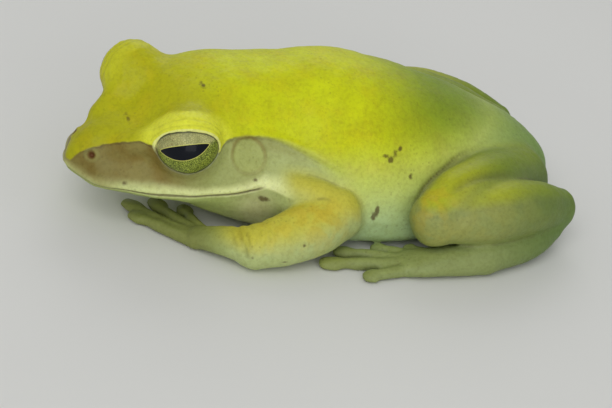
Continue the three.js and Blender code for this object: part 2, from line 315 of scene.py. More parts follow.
@dataclass
class Sweep:
    """A limb: oval sections along a path, with rounded ends."""

    path: Array  # rows of X, Y, Z, half width, half depth
    samples: int = 44

    def __post_init__(self) -> None:
        """Makes the dense rows of centres, directions and sizes."""
        rows = smooth_path(np.asarray(self.path, float), self.samples)
        self.centre, self.sizes = rows[:, :3], np.maximum(rows[:, 3:5], THINNEST)
        tangent = np.gradient(self.centre, axis=0)
        self.step = np.linalg.norm(tangent, axis=1)
        self.forward = tangent / self.step[:, None]
        rise = UP - self.forward * (self.forward @ UP)[:, None]
        self.rise = rise / np.linalg.norm(rise, axis=1)[:, None]
        self.across = np.cross(self.rise, self.forward)
        self.rows = np.hstack([self.centre, self.forward, self.rise, self.across, self.sizes])
        self.squares = (self.centre**2).sum(1)

    def locate(self, p: Array) -> tuple[Array, Array, Array]:
        """Finds points' places beside the limb.

        Args:
            p: Points, (n, 3).

        Returns:
            Signed distances to the surface, places along the limb from 0 to 1, and heights
            over its centre line, -1 at the underside to 1 at the top.
        """
        i = np.argmin(self.squares - 2 * (p @ self.centre.T), axis=1)
        shift = ((p - self.centre[i]) * self.forward[i]).sum(1) / self.step[i]
        u = np.clip(i + np.clip(shift, -0.6, 0.6), 0, self.samples - 1)
        j = np.minimum(u.astype(int), self.samples - 2)
        t = (u - j)[:, None]
        row = self.rows[j] * (1 - t) + self.rows[j + 1] * t
        w = p - row[:, :3]
        ahead, lift, aside = ((w * row[:, n:n + 3]).sum(1) for n in (3, 6, 9))
        half, depth = row[:, 12], row[:, 13]
        cap = np.minimum(half, depth)
        k = np.sqrt((aside / half) ** 2 + (lift / depth) ** 2 + (ahead / cap) ** 2)
        g = np.sqrt((aside / half**2) ** 2 + (lift / depth**2) ** 2 + (ahead / cap**2) ** 2)
        d = np.where(k < 1e-6, -cap, k * (k - 1) / np.maximum(g, 1e-9))
        return d, u / (self.samples - 1), lift / depth

    def distance(self, p: Array) -> Array:
        """The signed distance from points (n, 3) to the limb's surface."""
        return self.locate(p)[0]

    def box(self) -> Pair:
        """The lowest and highest corners of the limb."""
        size = self.sizes.max(1)[:, None]
        return (self.centre - size).min(0), (self.centre + size).max(0)


@dataclass
class Ball:
    """A sphere."""

    centre: Array
    radius: float

    def distance(self, p: Array) -> Array:
        """The signed distance from points (n, 3) to the sphere."""
        return np.linalg.norm(p - self.centre, axis=1) - self.radius

    def box(self) -> Pair:
        """The lowest and highest corners of the sphere."""
        return self.centre - self.radius, self.centre + self.radius


@dataclass
class HeadFrame:
    """The head's own axes: origin at the neck, -X forward, turned a little to the left."""

    neck: Place = (-17.0, 0.7, 9.8)
    yaw: float = 15.5  # degrees, as the next two
    pitch: float = -4.3
    roll: float = 6.5
    length: float = 22.6  # from the neck to the snout's tip

    def __post_init__(self) -> None:
        """Makes the rotation from the head's axes to the frog's."""
        turn = Matrix.Rotation(math.radians(self.yaw), 3, "Z")
        turn = turn @ Matrix.Rotation(math.radians(self.pitch), 3, "Y")
        turn = turn @ Matrix.Rotation(math.radians(self.roll), 3, "X")
        self.axes = np.array(turn)

    def to_head(self, p: Array) -> Array:
        """Points of the frog in the head's axes, with X counted back from the snout's tip."""
        return (p - np.array(self.neck)) @ self.axes + np.array([self.length, 0.0, 0.0])

    def to_frog(self, q: Array) -> Array:
        """Points of the head's axes in the frog's."""
        return (q - np.array([self.length, 0.0, 0.0])) @ self.axes.T + np.array(self.neck)

    def direction(self, v: Array) -> Array:
        """A direction of the head's axes in the frog's."""
        return self.axes @ v


@dataclass
class HeadShape:
    """A shape given in the head's axes, seen from the frog's."""

    shape: Loft
    placed: HeadFrame

    def distance(self, p: Array) -> Array:
        """The signed distance from points (n, 3) to the shape."""
        return self.shape.distance(self.placed.to_head(p))

    def box(self) -> Pair:
        """The box round the turned shape.

        Returns:
            Its lowest and highest corners.
        """
        ends = np.array(self.shape.box())
        corners = np.array([[ends[i, 0], ends[j, 1], ends[k, 2]] for i, j, k in np.ndindex(2, 2, 2)])
        turned = self.placed.to_frog(corners)
        return turned.min(0), turned.max(0)


@dataclass
class Form:
    """One shape of the body, and how softly it melts into those before it."""

    region: Region
    shape: Loft | Sweep | Ball | HeadShape
    melt: tuple[float, float]  # reach at the shape's start and end
    settled: float = 0.6  # the share of a limb's length at which the end's reach is met
    margin: float = 0.6  # room round the shape beyond its melting

    def __post_init__(self) -> None:
        """Keeps the shape's box, with room for its melting."""
        low, high = self.shape.box()
        self.low, self.high = low, high
        self.room = max(self.melt) + self.margin

    def sample(self, p: Array) -> Pair:
        """The distance to the shape and the melting reach at points.

        Args:
            p: Points, (n, 3).

        Returns:
            Distances, exact within the shape's own room, and reaches.
        """
        outside = np.maximum(np.maximum(self.low - p, p - self.high), 0.0)
        distance = np.sqrt((outside**2).sum(1))
        reach = np.full(len(p), self.melt[1])
        near = distance < self.room
        if near.any():
            if isinstance(self.shape, Sweep):
                distance[near], along, _ = self.shape.locate(p[near])
                turned = ramp(0.0, self.settled, along)
                reach[near] = self.melt[0] + (self.melt[1] - self.melt[0]) * turned
            else:
                distance[near] = self.shape.distance(p[near])
        return distance, reach


# ---------------------------------------------------------------- the frog's parts


@dataclass
class Trunk:
    """The body from the neck to the vent."""

    widest_at: float = 4.2  # height
    roundness: tuple[float, float] = (2.2, 4.5)  # above the widest level and below it
    melt: float = 4.0
    stations: tuple[Station, ...] = (
        Station(-26.0, 4.5, 11.5, 5.4, 0.16),
        Station(-21.0, 9.2, 15.6, 2.5, 0.16),
        Station(-14.0, 12.0, 19.2, 0.9, 0.16),
        Station(-5.0, 14.2, 20.4, 0.0, 0.16),
        Station(2.0, 14.7, 19.2, -0.15, 0.16),
        Station(10.0, 13.2, 17.0, 0.0, 0.16),
        Station(18.0, 9.9, 14.1, 0.7, 0.16),
        Station(24.5, 6.0, 10.7, 1.6, 0.16),
        Station(27.4, 4.3, 8.2, 2.2, 0.16),
        Station(28.6, 2.3, 6.5, 3.0, 0.16),
        Station(29.0, 0.5, 5.2, 3.7, 0.16),
    )

    def forms(self) -> list[Form]:
        """The trunk's one shape."""
        shape = Loft(self.stations, (self.widest_at, 0.0), *self.roundness)
        return [Form(Region.TRUNK, shape, (self.melt, self.melt))]


@dataclass
class EyeSizes:
    """Where the eyes are and how far the lids open. Angles are in degrees."""

    centre: Place = (12.25, -7.75, 5.05)  # behind the snout's tip, out, up
    ball: float = 4.0
    lid: float = 4.18  # outer radius of the lids
    socket: float = 3.8
    forward: float = 28.0  # the opening's axis, forward of sideways
    up: float = 12.0
    tilt: float = 6.6  # how far the opening's rear corner is turned up
    half_wide: float = 69.0
    above: float = 43.5
    below: float = 44.0
    round_above: float = 2.0  # powers of the opening's outline
    round_below: float = 1.65
    edge_round: float = 0.22  # how far the opening's edge is rounded
    right_forward: float = 14.0  # the right eye's lids meet sooner in front
    right_half_wide: float = 54.0

    def axis_forward(self, side: Side) -> float:
        """How far forward of sideways one eye's opening looks."""
        return self.forward if side is Side.LEFT else self.right_forward

    def reach(self, side: Side) -> float:
        """Half the width of one eye's opening."""
        return self.half_wide if side is Side.LEFT else self.right_half_wide


@dataclass
class Head:
    """The head with its lids, mouth, nostrils, eardrums and folds."""

    placed: HeadFrame = field(default_factory=HeadFrame)
    eye: EyeSizes = field(default_factory=EyeSizes)
    stations: tuple[Station, ...] = (
        Station(0.0, 0.5, -0.1, -1.2, 0.30),
        Station(0.4, 1.35, 0.8, -1.85, 0.40),
        Station(1.2, 2.65, 1.9, -2.5, 0.45),
        Station(2.5, 4.75, 2.9, -3.5, 0.50),
        Station(5.0, 6.6, 4.0, -4.1, 0.61),
        Station(9.0, 9.1, 4.9, -4.2, 0.50),
        Station(14.0, 10.8, 8.5, -5.4, 0.14),
        Station(20.0, 11.2, 9.5, -6.7, 0.16),
        Station(28.0, 9.8, 6.8, -8.0, 0.12),
    )
    skull_middle: tuple[float, float] = (-0.8, -0.1)  # height of the widest level, and its rise
    skull_roundness: tuple[float, float] = (2.7, 1.9)  # above that level and below it
    skull_melt: float = 3.6
    lid_melt: float = 2.0
    ridge_melt: float = 2.4
    # The ridge in front of the eye: back, out, up, half width, half depth.
    ridge: tuple[tuple[float, float, float, float, float], ...] = (
        (6.3, -3.6, 3.05, 1.35, 1.35), (8.8, -4.75, 3.95, 1.65, 1.65), (11.2, -5.55, 4.35, 2.2, 2.2))
    # The mouth line and the line between the yellow top and the sides: back, up.
    mouth: Table = (
        (-1.0, -1.05), (0.0, -1.15), (0.6, -1.5), (1.3, -1.72), (2.2, -1.72), (3.0, -1.62),
        (4.8, -1.58), (6.1, -1.52), (9.2, -1.48), (11.6, -1.5), (13.7, -1.55), (15.7, -1.6),
        (16.9, -1.56), (18.0, -1.44), (19.2, -1.18), (20.2, -0.85), (21.4, -0.3),
    )
    mask_line: Table = (
        (-0.5, -0.9), (0.0, -0.4), (0.2, 0.3), (0.8, 1.1), (1.6, 1.75), (2.6, 2.25), (3.8, 2.7),
        (5.0, 3.5), (6.1, 4.2), (7.7, 4.9), (12.0, 5.2), (16.0, 5.2), (17.9, 5.2), (19.1, 5.25),
        (21.1, 5.2), (22.8, 4.93), (24.6, 4.44), (25.9, 3.94), (27.6, 3.32), (29.3, 2.5),
        (31.3, 1.66), (36.0, -0.6), (44.0, -4.0),
    )
    # How far round the snout that line is: back, and degrees up from sideways.
    mask_turn: Table = (
        (-1.0, 36.0), (0.0, 44.0), (0.4, 53.0), (0.9, 59.5), (1.6, 60.5), (2.6, 57.7), (3.8, 56.5),
        (5.0, 51.8), (6.1, 48.0), (7.1, 46.0), (7.8, 41.2), (9.0, 34.5), (12.0, 28.6),
    )
    mask_low: float = 0.8  # how far below the head's axis those degrees turn about
    tip_line: float = 0.0  # height of the yellow's lower edge across the snout's tip
    mask_right: float = 15.0  # degrees that it is lower by on the right
    eardrum: tuple[float, float] = (19.65, 3.15)  # back, up
    eardrum_radius: float = 2.12
    nostril: Place = (2.2, -2.38, 1.6)  # back, out, up
    # Ridges and grooves: across the mouth line, across the yellow's edge on the snout and behind
    # the eye, round the eardrum in its radii, and round the nostril.
    lips: tuple[Swell, ...] = (Swell(-0.28, 0.0, 0.15), Swell(0.10, 0.5, 0.32), Swell(0.05, -0.45, 0.28))
    chin_groove: float = 0.14
    snout_edge: tuple[Swell, ...] = (Swell(0.10, 0.15, 0.5), Swell(-0.22, -1.7, 1.2))
    neck_fold: tuple[Swell, ...] = (Swell(0.22, 0.25, 0.42), Swell(-0.16, -0.45, 0.34))
    drum_ring: tuple[Swell, ...] = (Swell(0.06, 1.0, 0.1), Swell(-0.03, 1.25, 0.16), Swell(0.04, 0.0, 0.3))
    drum_depth: float = 0.07  # how far the eardrum lies below its ring
    nostril_rim: tuple[Swell, ...] = (Swell(0.14, 0.66, 0.26), Swell(-0.45, 0.0, 0.36))

    def forms(self) -> list[Form]:
        """Makes the skull, the ridges of the snout and the two domes of the lids.

        Returns:
            The shapes, in the order that they melt together in.
        """
        skull = HeadShape(Loft(self.stations, self.skull_middle, *self.skull_roundness), self.placed)
        made = [Form(Region.HEAD, skull, (self.skull_melt, self.skull_melt))]
        for side in Side:
            ridge = Sweep(self.ridge_path(side), 20)
            made.append(Form(Region.HEAD, ridge, (self.ridge_melt, self.ridge_melt)))
        for side in Side:
            lids = Ball(self.eye_centre(side), self.eye.lid)
            made.append(Form(Region.HEAD, lids, (self.lid_melt, self.lid_melt)))
        return made

    def ridge_path(self, side: Side) -> Array:
        """The ridge in front of an eye, in the frog's axes.

        Args:
            side: Which eye.

        Returns:
            Rows of centre, half width and half depth.
        """
        rows = np.array(self.ridge)
        rows[:, :3] = self.placed.to_frog(rows[:, :3] * np.array([1.0, side.value, 1.0]))
        return rows

    def eye_centre(self, side: Side) -> Array:
        """The middle of an eyeball, in the frog's axes."""
        return self.placed.to_frog(np.array(self.eye.centre) * np.array([1.0, side.value, 1.0]))

    def gaze_axes(self, side: Side) -> Array:
        """The axes of an eye's opening: rows of forward, outward and upward directions.

        Args:
            side: Which eye.

        Returns:
            A (3, 3) array: towards the snout along the opening, out of the eye, and up.
        """
        turn, lift = math.radians(self.eye.axis_forward(side)), math.radians(self.eye.up)
        out, flat = -side.value, math.cos(lift)
        gaze = np.array([-math.sin(turn) * flat, out * math.cos(turn) * flat, math.sin(lift)])
        level = np.array([-math.cos(turn), -out * math.sin(turn), 0.0])
        upright = np.cross(gaze, level) * out
        tilt = math.radians(self.eye.tilt)
        ahead = level * math.cos(tilt) - upright * math.sin(tilt)
        upward = upright * math.cos(tilt) + level * math.sin(tilt)
        return np.array([self.placed.direction(v) for v in (ahead, gaze, upward)])

    def look_angles(self, p: Array, side: Side) -> tuple[Array, Array, Array]:
        """Places round an eye, as seen from its middle.

        Args:
            p: Points, (n, 3).
            side: Which eye.

        Returns:
            Degrees forward of the opening's axis, degrees above it, and the distance.
        """
        v = (p - self.eye_centre(side)) @ self.gaze_axes(side).T
        radius = np.maximum(np.linalg.norm(v, axis=1), 1e-6)
        forward = np.degrees(np.arctan2(v[:, 0], v[:, 1]))
        above = np.degrees(np.arcsin(np.clip(v[:, 2] / radius, -1, 1)))
        return forward, above, radius

    def lid_edge(self, p: Array, side: Side) -> Pair:
        """The distance from the lids' edge, positive on the skin.

        Args:
            p: Points, (n, 3).
            side: Which eye.

        Returns:
            Distances over the ball, and the distances from the eye's middle.
        """
        forward, above, radius = self.look_angles(p, side)
        high = np.where(above > 0, self.eye.above, self.eye.below)
        wide = self.eye.reach(side)
        a, b = np.abs(forward) / wide, np.abs(above) / high
        power = np.where(above > 0, self.eye.round_above, self.eye.round_below)
        k = (a**power + b**power) ** (1 / power)
        slope = np.hypot(a / wide, b / high) / np.maximum(np.hypot(a, b), 1e-6)
        away = (k - 1) / np.maximum(slope, 1e-6)
        return np.radians(away) * radius, radius

    def open_lids(self, p: Array, d: Array) -> Array:
        """Cuts the openings between the lids out of the body.

        Args:
            p: Points, (n, 3).
            d: Signed distances to the body without openings.

        Returns:
            Signed distances to the body with them.
        """
        d = d.copy()
        for side in Side:
            near = np.linalg.norm(p - self.eye_centre(side), axis=1) < self.eye.lid + 2.0
            if near.any():
                edge, radius = self.lid_edge(p[near], side)
                opening = np.maximum(edge, self.eye.socket - radius)
                d[near] = cut_away(d[near], -opening, self.eye.edge_round)
        return d

    def mouth_gap(self, q: Array) -> Pair:
        """The height over the mouth line, and how much of the mouth there is.

        Args:
            q: Points in the head's axes.

        Returns:
            Heights, and a mask that ends at the corners.
        """
        return q[:, 2] - read_table(self.mouth, q[:, 0]), ramp(21.6, 20.4, q[:, 0])

    def relief(self, q: Array, markings: Markings) -> Array:
        """Folds, ridges and pits of the head, as heights over the plain form.

        Args:
            q: Points in the head's axes.
            markings: The skin's coordinates at those points.

        Returns:
            Heights in millimetres.
        """
        back, out = q[:, 0], np.abs(q[:, 1])
        lip, edge, drum = markings.lip, markings.edge, markings.drum
        chin = self.chin_groove * ramp(0.0, -0.5, lip) * ramp(-3.0, -1.2, lip)
        height = (relief_of(self.lips, lip) - chin) * markings.mouth
        on_snout = ramp(0.8, 2.2, back) * ramp(9.4, 8.0, back) * ramp(1.2, 2.6, out)
        height += relief_of(self.snout_edge, edge) * on_snout
        behind_eye = ramp(16.6, 18.2, back) * ramp(34.0, 27.0, back) * ramp(4.0, 6.0, out)
        height += relief_of(self.neck_fold, edge) * behind_eye
        height += relief_of(self.drum_ring, drum) - self.drum_depth * ramp(1.0, 0.8, drum)
        return height + relief_of(self.nostril_rim, markings.nostril)


@dataclass
class Digit:
    """A finger or a toe: base, knuckle and tip of its centre line."""

    base: Place
    knuckle: Place
    tip: Place
    stem: float = 0.78  # half thickness
    pad: float = 1.15  # half width of the pad at its tip
    # Along it, half width and half depth, in stems. The last rows' widths are in pads.
    rows: tuple[Place, ...] = ((0.0, 1.12, 1.1), (0.35, 1.0, 1.0), (0.62, 0.98, 0.98),
                               (0.74, 0.84, 0.85), (0.87, 1.0, 0.92), (1.0, 0.8, 0.7))
    pad_rows: int = 2

    def path(self, samples: int = 15) -> Array:
        """The digit's centre line and thickness.

        Args:
            samples: How many rows.

        Returns:
            Rows of centre, half width and half depth.
        """
        centre = smooth_path(np.array([self.base, self.knuckle, self.tip]), samples)
        at, half, depth = np.array(self.rows).T
        half[:-self.pad_rows] *= self.stem
        half[-self.pad_rows:] *= self.pad
        t = np.linspace(0, 1, samples)
        columns = [np.interp(t, *monotone_table(at, size, 200)) for size in (half, depth * self.stem)]
        return np.column_stack([centre, *columns])


@dataclass
class Limb:
    """An arm or a leg of one side: its segments, digits and the skin between digits."""

    side: Side
    tuck: float  # its distance from the middle, as a share of the left one's
    segments: tuple[tuple[Region, tuple[float, float], tuple[tuple[float, ...], ...]], ...]
    digits: tuple[Digit, ...]
    digit_region: Region
    web_reach: float  # how much of the digits' length the web takes
    web_half: float = 0.3  # half its thickness
    web_overlap: float = 0.25  # how far it reaches into each digit
    web_drop: float = 0.1  # how far it lies below the digits' centre lines
    digit_melt: tuple[float, float] = (0.5, 0.35)
    web_melt: tuple[float, float] = (0.45, 0.45)

    def place(self, path: Array) -> Array:
        """Moves a path to this limb's side.

        Args:
            path: Rows that begin with X, Y and Z on the left side.

        Returns:
            The rows on this limb's side.
        """
        placed = np.array(path, float)
        placed[:, 1] *= self.side.value * self.tuck
        return placed

    def forms(self) -> list[Form]:
        """Makes the limb's shapes, from the body outwards.

        Returns:
            Its segments, its digits and the webs between them.
        """
        made = [Form(region, Sweep(self.place(np.array(path))), melt)
                for region, melt, path in self.segments]
        paths = [self.place(digit.path()) for digit in self.digits]
        made += [Form(self.digit_region, Sweep(path, 26), self.digit_melt) for path in paths]
        made += [Form(self.digit_region, Sweep(self.web(a, b), 14), self.web_melt)
                 for a, b in zip(paths, paths[1:])]
        return made

    def web(self, a: Array, b: Array) -> Array:
        """The skin between two digits, as a flat sweep between their centre lines.

        Args:
            a: One digit's path.
            b: Its neighbour's path.

        Returns:
            Rows of centre, half width and half depth.
        """
        count = max(3, int(len(a) * self.web_reach))
        centre = (a[:count, :3] + b[:count, :3]) / 2
        half = np.linalg.norm(a[:count, :3] - b[:count, :3], axis=1) / 2 + self.web_overlap
        centre[:, 2] -= self.web_drop
        return np.column_stack([centre, half, np.full(count, self.web_half)])


def make_arm(side: Side) -> Limb:
    """The arm of one side, folded under the chin.

    Args:
        side: Which side.

    Returns:
        The arm. Each segment has its region, how softly its two ends melt into what is there,
        and rows of centre, half width and half depth.
    """
    segments = (
        (Region.UPPER_ARM, (1.4, 0.3), (
            (-13.5, -9.2, 6.2, 2.8, 3.1), (-9.6, -12.6, 6.8, 2.7, 3.0), (-5.8, -14.2, 5.9, 2.7, 2.9))),
        (Region.FOREARM, (1.1, 0.5), (
            (-5.0, -14.0, 4.8, 2.8, 3.1), (-8.8, -15.7, 4.4, 3.5, 3.6), (-13.0, -17.1, 3.5, 3.2, 3.2),
            (-16.6, -17.4, 2.7, 2.7, 2.6))),
        (Region.HAND, (1.0, 0.7), (
            (-16.6, -17.3, 2.6, 2.6, 2.3), (-19.8, -15.3, 2.2, 2.1, 1.8), (-22.6, -12.7, 1.3, 1.8, 1.2))),
    )
    digits = (
        Digit((-20.6, -13.0, 1.0), (-22.3, -9.2, 0.9), (-22.8, -5.2, 0.65)),
        Digit((-21.7, -12.6, 1.0), (-24.4, -8.4, 0.9), (-26.4, -3.6, 0.65)),
        Digit((-22.5, -12.8, 1.0), (-26.4, -8.8, 0.9), (-29.9, -3.8, 0.65)),
        Digit((-22.9, -13.6, 1.0), (-26.4, -10.3, 0.9), (-29.6, -6.6, 0.65)),
    )
    return Limb(side, 1.0, segments, digits, Region.HAND, 0.3)


def make_leg(side: Side) -> Limb:
    """The hind leg of one side, folded flat against the body.

    Args:
        side: Which side. The right leg is tucked in a little closer.

    Returns:
        The leg, with segments as an arm's.
    """
    segments = (
        (Region.THIGH, (2.0, 0.45), (
            (22.0, -6.5, 6.2, 4.2, 4.4), (16.0, -11.0, 7.6, 4.4, 4.8), (10.0, -15.2, 7.8, 4.0, 4.6),
            (6.2, -17.6, 6.8, 3.2, 3.6))),
        (Region.SHANK, (0.5, 0.35), (
            (6.2, -17.8, 6.6, 2.9, 2.7), (13.0, -17.3, 7.3, 3.8, 3.8), (20.0, -14.8, 6.7, 3.6, 3.8),
            (25.9, -12.2, 5.3, 2.4, 2.6))),
        (Region.FOOT, (1.0, 0.35), (
            (25.7, -12.1, 4.2, 2.3, 2.3), (23.8, -14.0, 2.9, 2.2, 2.1), (20.0, -16.9, 2.4, 2.1, 2.1),
            (14.0, -19.0, 2.1, 2.2, 2.1))),
        (Region.FOOT, (0.8, 0.4), (
            (13.0, -19.1, 2.0, 2.3, 2.1), (8.0, -19.3, 1.6, 2.4, 1.7), (3.5, -19.0, 1.1, 2.5, 1.2))),
    )
    digits = (
        Digit((8.5, -18.4, 0.9), (6.4, -16.5, 0.8), (4.6, -15.0, 0.6)),
        Digit((5.5, -18.2, 0.9), (3.0, -16.2, 0.8), (0.2, -14.7, 0.6)),
        Digit((3.5, -18.2, 0.9), (-0.8, -16.7, 0.8), (-5.0, -15.4, 0.6)),
        Digit((3.0, -19.0, 0.9), (-2.3, -18.5, 0.8), (-7.6, -18.0, 0.6)),
        Digit((3.5, -20.0, 0.9), (0.5, -20.6, 0.8), (-2.7, -21.1, 0.6)),
    )
    return Limb(side, 1.0 if side is Side.LEFT else RIGHT_LEG_TUCK, segments, digits, Region.FOOT, 0.5)


# ---------------------------------------------------------------- from forms to a mesh


@dataclass
class Body:
    """All the forms of the frog as one field whose surface is the skin."""

    head: Head
    forms: list[Form]
    chunk: int = 120_000  # points taken at once
    skip: float = 6.0  # a form further than this from all of a chunk is left out
    floor_round: float = 0.1  # how far the edges of the flats on the floor are rounded

    def distance(self, p: Array) -> Array:
        """The distance to the skin.

        Args:
            p: Points, (n, 3).

        Returns:
            Signed distances, negative inside.
        """
        out = np.empty(len(p))
        for start in range(0, len(p), self.chunk):
            out[start:start + self.chunk] = self.distance_of_chunk(p[start:start + self.chunk])
        return out

    def distance_of_chunk(self, p: Array) -> Array:
        """The distance to the skin for points that are few enough to take at once.

        Args:
            p: Points, (n, 3).

        Returns:
            Signed distances, negative inside.
        """
        low, high = p.min(0), p.max(0)
        total = np.full(len(p), 1e3)
        for form in self.forms:
            gap = np.linalg.norm(np.maximum(np.maximum(form.low - high, low - form.high), 0.0))
            if gap > self.skip and form is not self.forms[0]:
                continue
            d, reach = form.sample(p)
            total = melt_together(total, d, reach)
        total = self.head.open_lids(p, total)
        return cut_away(total, -p[:, 2], self.floor_round)

    def nearness(self, p: Array, softness: float = 0.45) -> dict[Region, Array]:
        """How much of each region a point of the skin belongs to.

        Args:
            p: Points on the skin, (n, 3).
            softness: Millimetres over which one region turns into the next.

        Returns:
            A weight for each region, which together make 1.
        """
        nearest = {region: np.full(len(p), 9.0) for region in Region}
        for form in self.forms:
            nearest[form.region] = np.minimum(nearest[form.region], form.sample(p)[0])
        weights = {region: np.exp(-d / softness) for region, d in nearest.items()}
        whole = sum(weights.values())
        return {region: weight / whole for region, weight in weights.items()}


@dataclass
class Lattice:
    """A grid of planes, closer together at the head, on which the skin is found."""

    low: Place = (-41.5, -24.5, -0.6)
    high: Place = (31.5, 22.5, 22.6)
    fine: float = 0.15  # spacing along X at the head
    coarse: float = 0.3  # and behind it
    aside: float = 0.2  # spacing along Y
    upwards: float = 0.1725  # spacing along Z
    head_ends: tuple[float, float] = (-12.0, -7.0)  # where the spacing changes
    band: int = 4  # planes between those of the first, rough search

    def ticks(self, scale: float) -> list[Array]:
        """The places of the planes along X, Y and Z.

        Args:
            scale: Multiplies every spacing, for a rougher skin.

        Returns:
            Three rising rows, each a whole number of bands long.
        """
        steps = (self.along, lambda _: self.aside, lambda _: self.upwards)
        made = []
        for low, high, step in zip(self.low, self.high, steps):
            places = [low]
            while places[-1] < high or (len(places) - 1) % self.band:
                places.append(places[-1] + scale * step(places[-1]))
            made.append(np.array(places))
        return made

    def along(self, x: float) -> float:
        """The spacing along X at a place."""
        start, end = self.head_ends
        return self.fine + (self.coarse - self.fine) * min(max((x - start) / (end - start), 0), 1)

    def skin(self, body: Body, scale: float) -> Pair:
        """Finds the body's surface.

        Args:
            body: The field.
            scale: Multiplies every spacing.

        Returns:
            Points, (n, 3), and faces of four points each, (m, 4).
        """
        ticks = self.ticks(scale)
        counts = [len(t) for t in ticks]
        rough = [t[::self.band] for t in ticks]
        nodes = np.stack(np.meshgrid(*rough, indexing="ij"), -1)
        values = body.distance(nodes.reshape(-1, 3)).reshape(nodes.shape[:3])
        sizes = [np.diff(t) for t in rough]
        diagonal = np.sqrt(sizes[0][:, None, None] ** 2 + sizes[1][:, None] ** 2 + sizes[2] ** 2)
        nearest, shape = np.full(diagonal.shape, 1e9), diagonal.shape
        for i, j, k in np.ndindex(2, 2, 2):
            corner = values[i:shape[0] + i, j:shape[1] + j, k:shape[2] + k]
            nearest = np.minimum(nearest, np.abs(corner))
        blocks = np.argwhere(nearest < 0.75 * diagonal)
        inner = np.array(list(np.ndindex(*[self.band + 1] * 3)))
        wanted = np.zeros(counts, bool)
        index = (blocks[:, None] * self.band + inner[None]).reshape(-1, 3)
        wanted[index[:, 0], index[:, 1], index[:, 2]] = True
        at, grid = np.argwhere(wanted), values
        for axis in range(3):
            grid = np.repeat(grid, self.band, axis)
        grid = grid[:counts[0], :counts[1], :counts[2]].copy()
        places = np.column_stack([ticks[a][at[:, a]] for a in range(3)])
        grid[at[:, 0], at[:, 1], at[:, 2]] = body.distance(places)
        return surface_of(grid, ticks)


def surface_of(grid: Array, ticks: list[Array]) -> Pair:
    """The zero surface of values on a grid: one point in each cell that it crosses.

    Args:
        grid: Values, negative inside.
        ticks: The grid's places along each axis.

    Returns:
        Points and four-sided faces that look outwards.
    """
    shape = np.array(grid.shape) - 1
    inside = grid < 0
    corners = list(np.ndindex(2, 2, 2))
    some, every = np.zeros(shape, bool), np.ones(shape, bool)
    for i, j, k in corners:
        corner = inside[i:shape[0] + i, j:shape[1] + j, k:shape[2] + k]
        some |= corner
        every &= corner
    crossed = some & ~every
    cells = np.argwhere(crossed)
    number = np.full(shape, -1, np.int64)
    number[crossed] = np.arange(len(cells))
    value = {c: grid[cells[:, 0] + c[0], cells[:, 1] + c[1], cells[:, 2] + c[2]] for c in corners}
    total, count = np.zeros((len(cells), 3)), np.zeros(len(cells))
    for corner in corners:
        for axis in range(3):
            if corner[axis]:
                continue
            other = tuple(1 if a == axis else corner[a] for a in range(3))
            va, vb = value[corner], value[other]
            cross = (va < 0) != (vb < 0)
            t = np.where(cross, va / np.where(cross, va - vb, 1.0), 0.0)
            place = np.array(corner, float) + np.eye(3)[axis] * t[:, None]
            total += place * cross[:, None]
            count += cross
    part = total / count[:, None]
    points = np.empty_like(part)
    for axis in range(3):
        low = ticks[axis][cells[:, axis]]
        points[:, axis] = low + part[:, axis] * (ticks[axis][cells[:, axis] + 1] - low)
    faces = []
    for axis in range(3):
        first, second = [slice(None)] * 3, [slice(None)] * 3
        first[axis], second[axis] = slice(0, -1), slice(1, None)
        edge = np.argwhere(inside[tuple(first)] != inside[tuple(second)])
        u, v = (axis + 1) % 3, (axis + 2) % 3
        pair = edge[:, [u, v]]
        edge = edge[((pair > 0) & (pair < shape[[u, v]])).all(1)]
        around = []
        for back_u, back_v in ((1, 1), (0, 1), (0, 0), (1, 0)):
            cell = edge.copy()
            cell[:, u] -= back_u
            cell[:, v] -= back_v
            around.append(number[cell[:, 0], cell[:, 1], cell[:, 2]])
        face = np.stack(around, 1)
        enters = ~inside[edge[:, 0], edge[:, 1], edge[:, 2]]
        face[enters] = face[enters][:, ::-1]
        faces.append(face)
    return points, np.vstack(faces)


def largest_piece(points: Array, faces: Array) -> Pair:
    """The largest connected piece of a mesh, with the loose crumbs left out.

    Args:
        points: The mesh's points.
        faces: Its faces.

    Returns:
        The piece's own points and faces.
    """
    label = np.arange(len(points))
    while True:
        lowest = label[faces].min(1)
        new = label.copy()
        for column in range(faces.shape[1]):
            np.minimum.at(new, faces[:, column], lowest)
        new = new[new]
        if (new == label).all():
            break
        label = new
    main = np.bincount(label).argmax()
    keep = label == main
    renumber = np.cumsum(keep) - 1
    return points[keep], renumber[faces[keep[faces[:, 0]]]]


def relaxed(points: Array, faces: Array, rounds: int) -> Array:
    """Points moved half way to the middle of their neighbours, over and over.

    Args:
        points: The mesh's points.
        faces: Its faces, of four points each.
        rounds: How many times they are moved.

    Returns:
        The moved points.
    """
    near = np.vstack([faces[:, [a, (a + 1) % 4]] for a in range(4)])
    a, b = near[:, 0], near[:, 1]
    size = len(points)
    count = np.bincount(a, minlength=size) + np.bincount(b, minlength=size)
    for _ in range(rounds):
        moved = np.empty_like(points)
        for axis in range(3):
            total = np.bincount(a, points[b, axis], size)
            total += np.bincount(b, points[a, axis], size)
            moved[:, axis] = total / count
        points = (points + moved) / 2
    return points


def normals_of(points: Array, faces: Array) -> Array:
    """The directions that a mesh faces in at its points.

    Args:
        points: The mesh's points.
        faces: Its faces, of four points each.

    Returns:
        A unit normal for each point.
    """
    across = points[faces[:, 2]] - points[faces[:, 0]]
    other = points[faces[:, 3]] - points[faces[:, 1]]
    normal = np.cross(across, other)
    total = np.zeros_like(points)
    for column in range(4):
        for axis in range(3):
            total[:, axis] += np.bincount(faces[:, column], normal[:, axis], len(points))
    return total / np.maximum(np.linalg.norm(total, axis=1)[:, None], 1e-12)


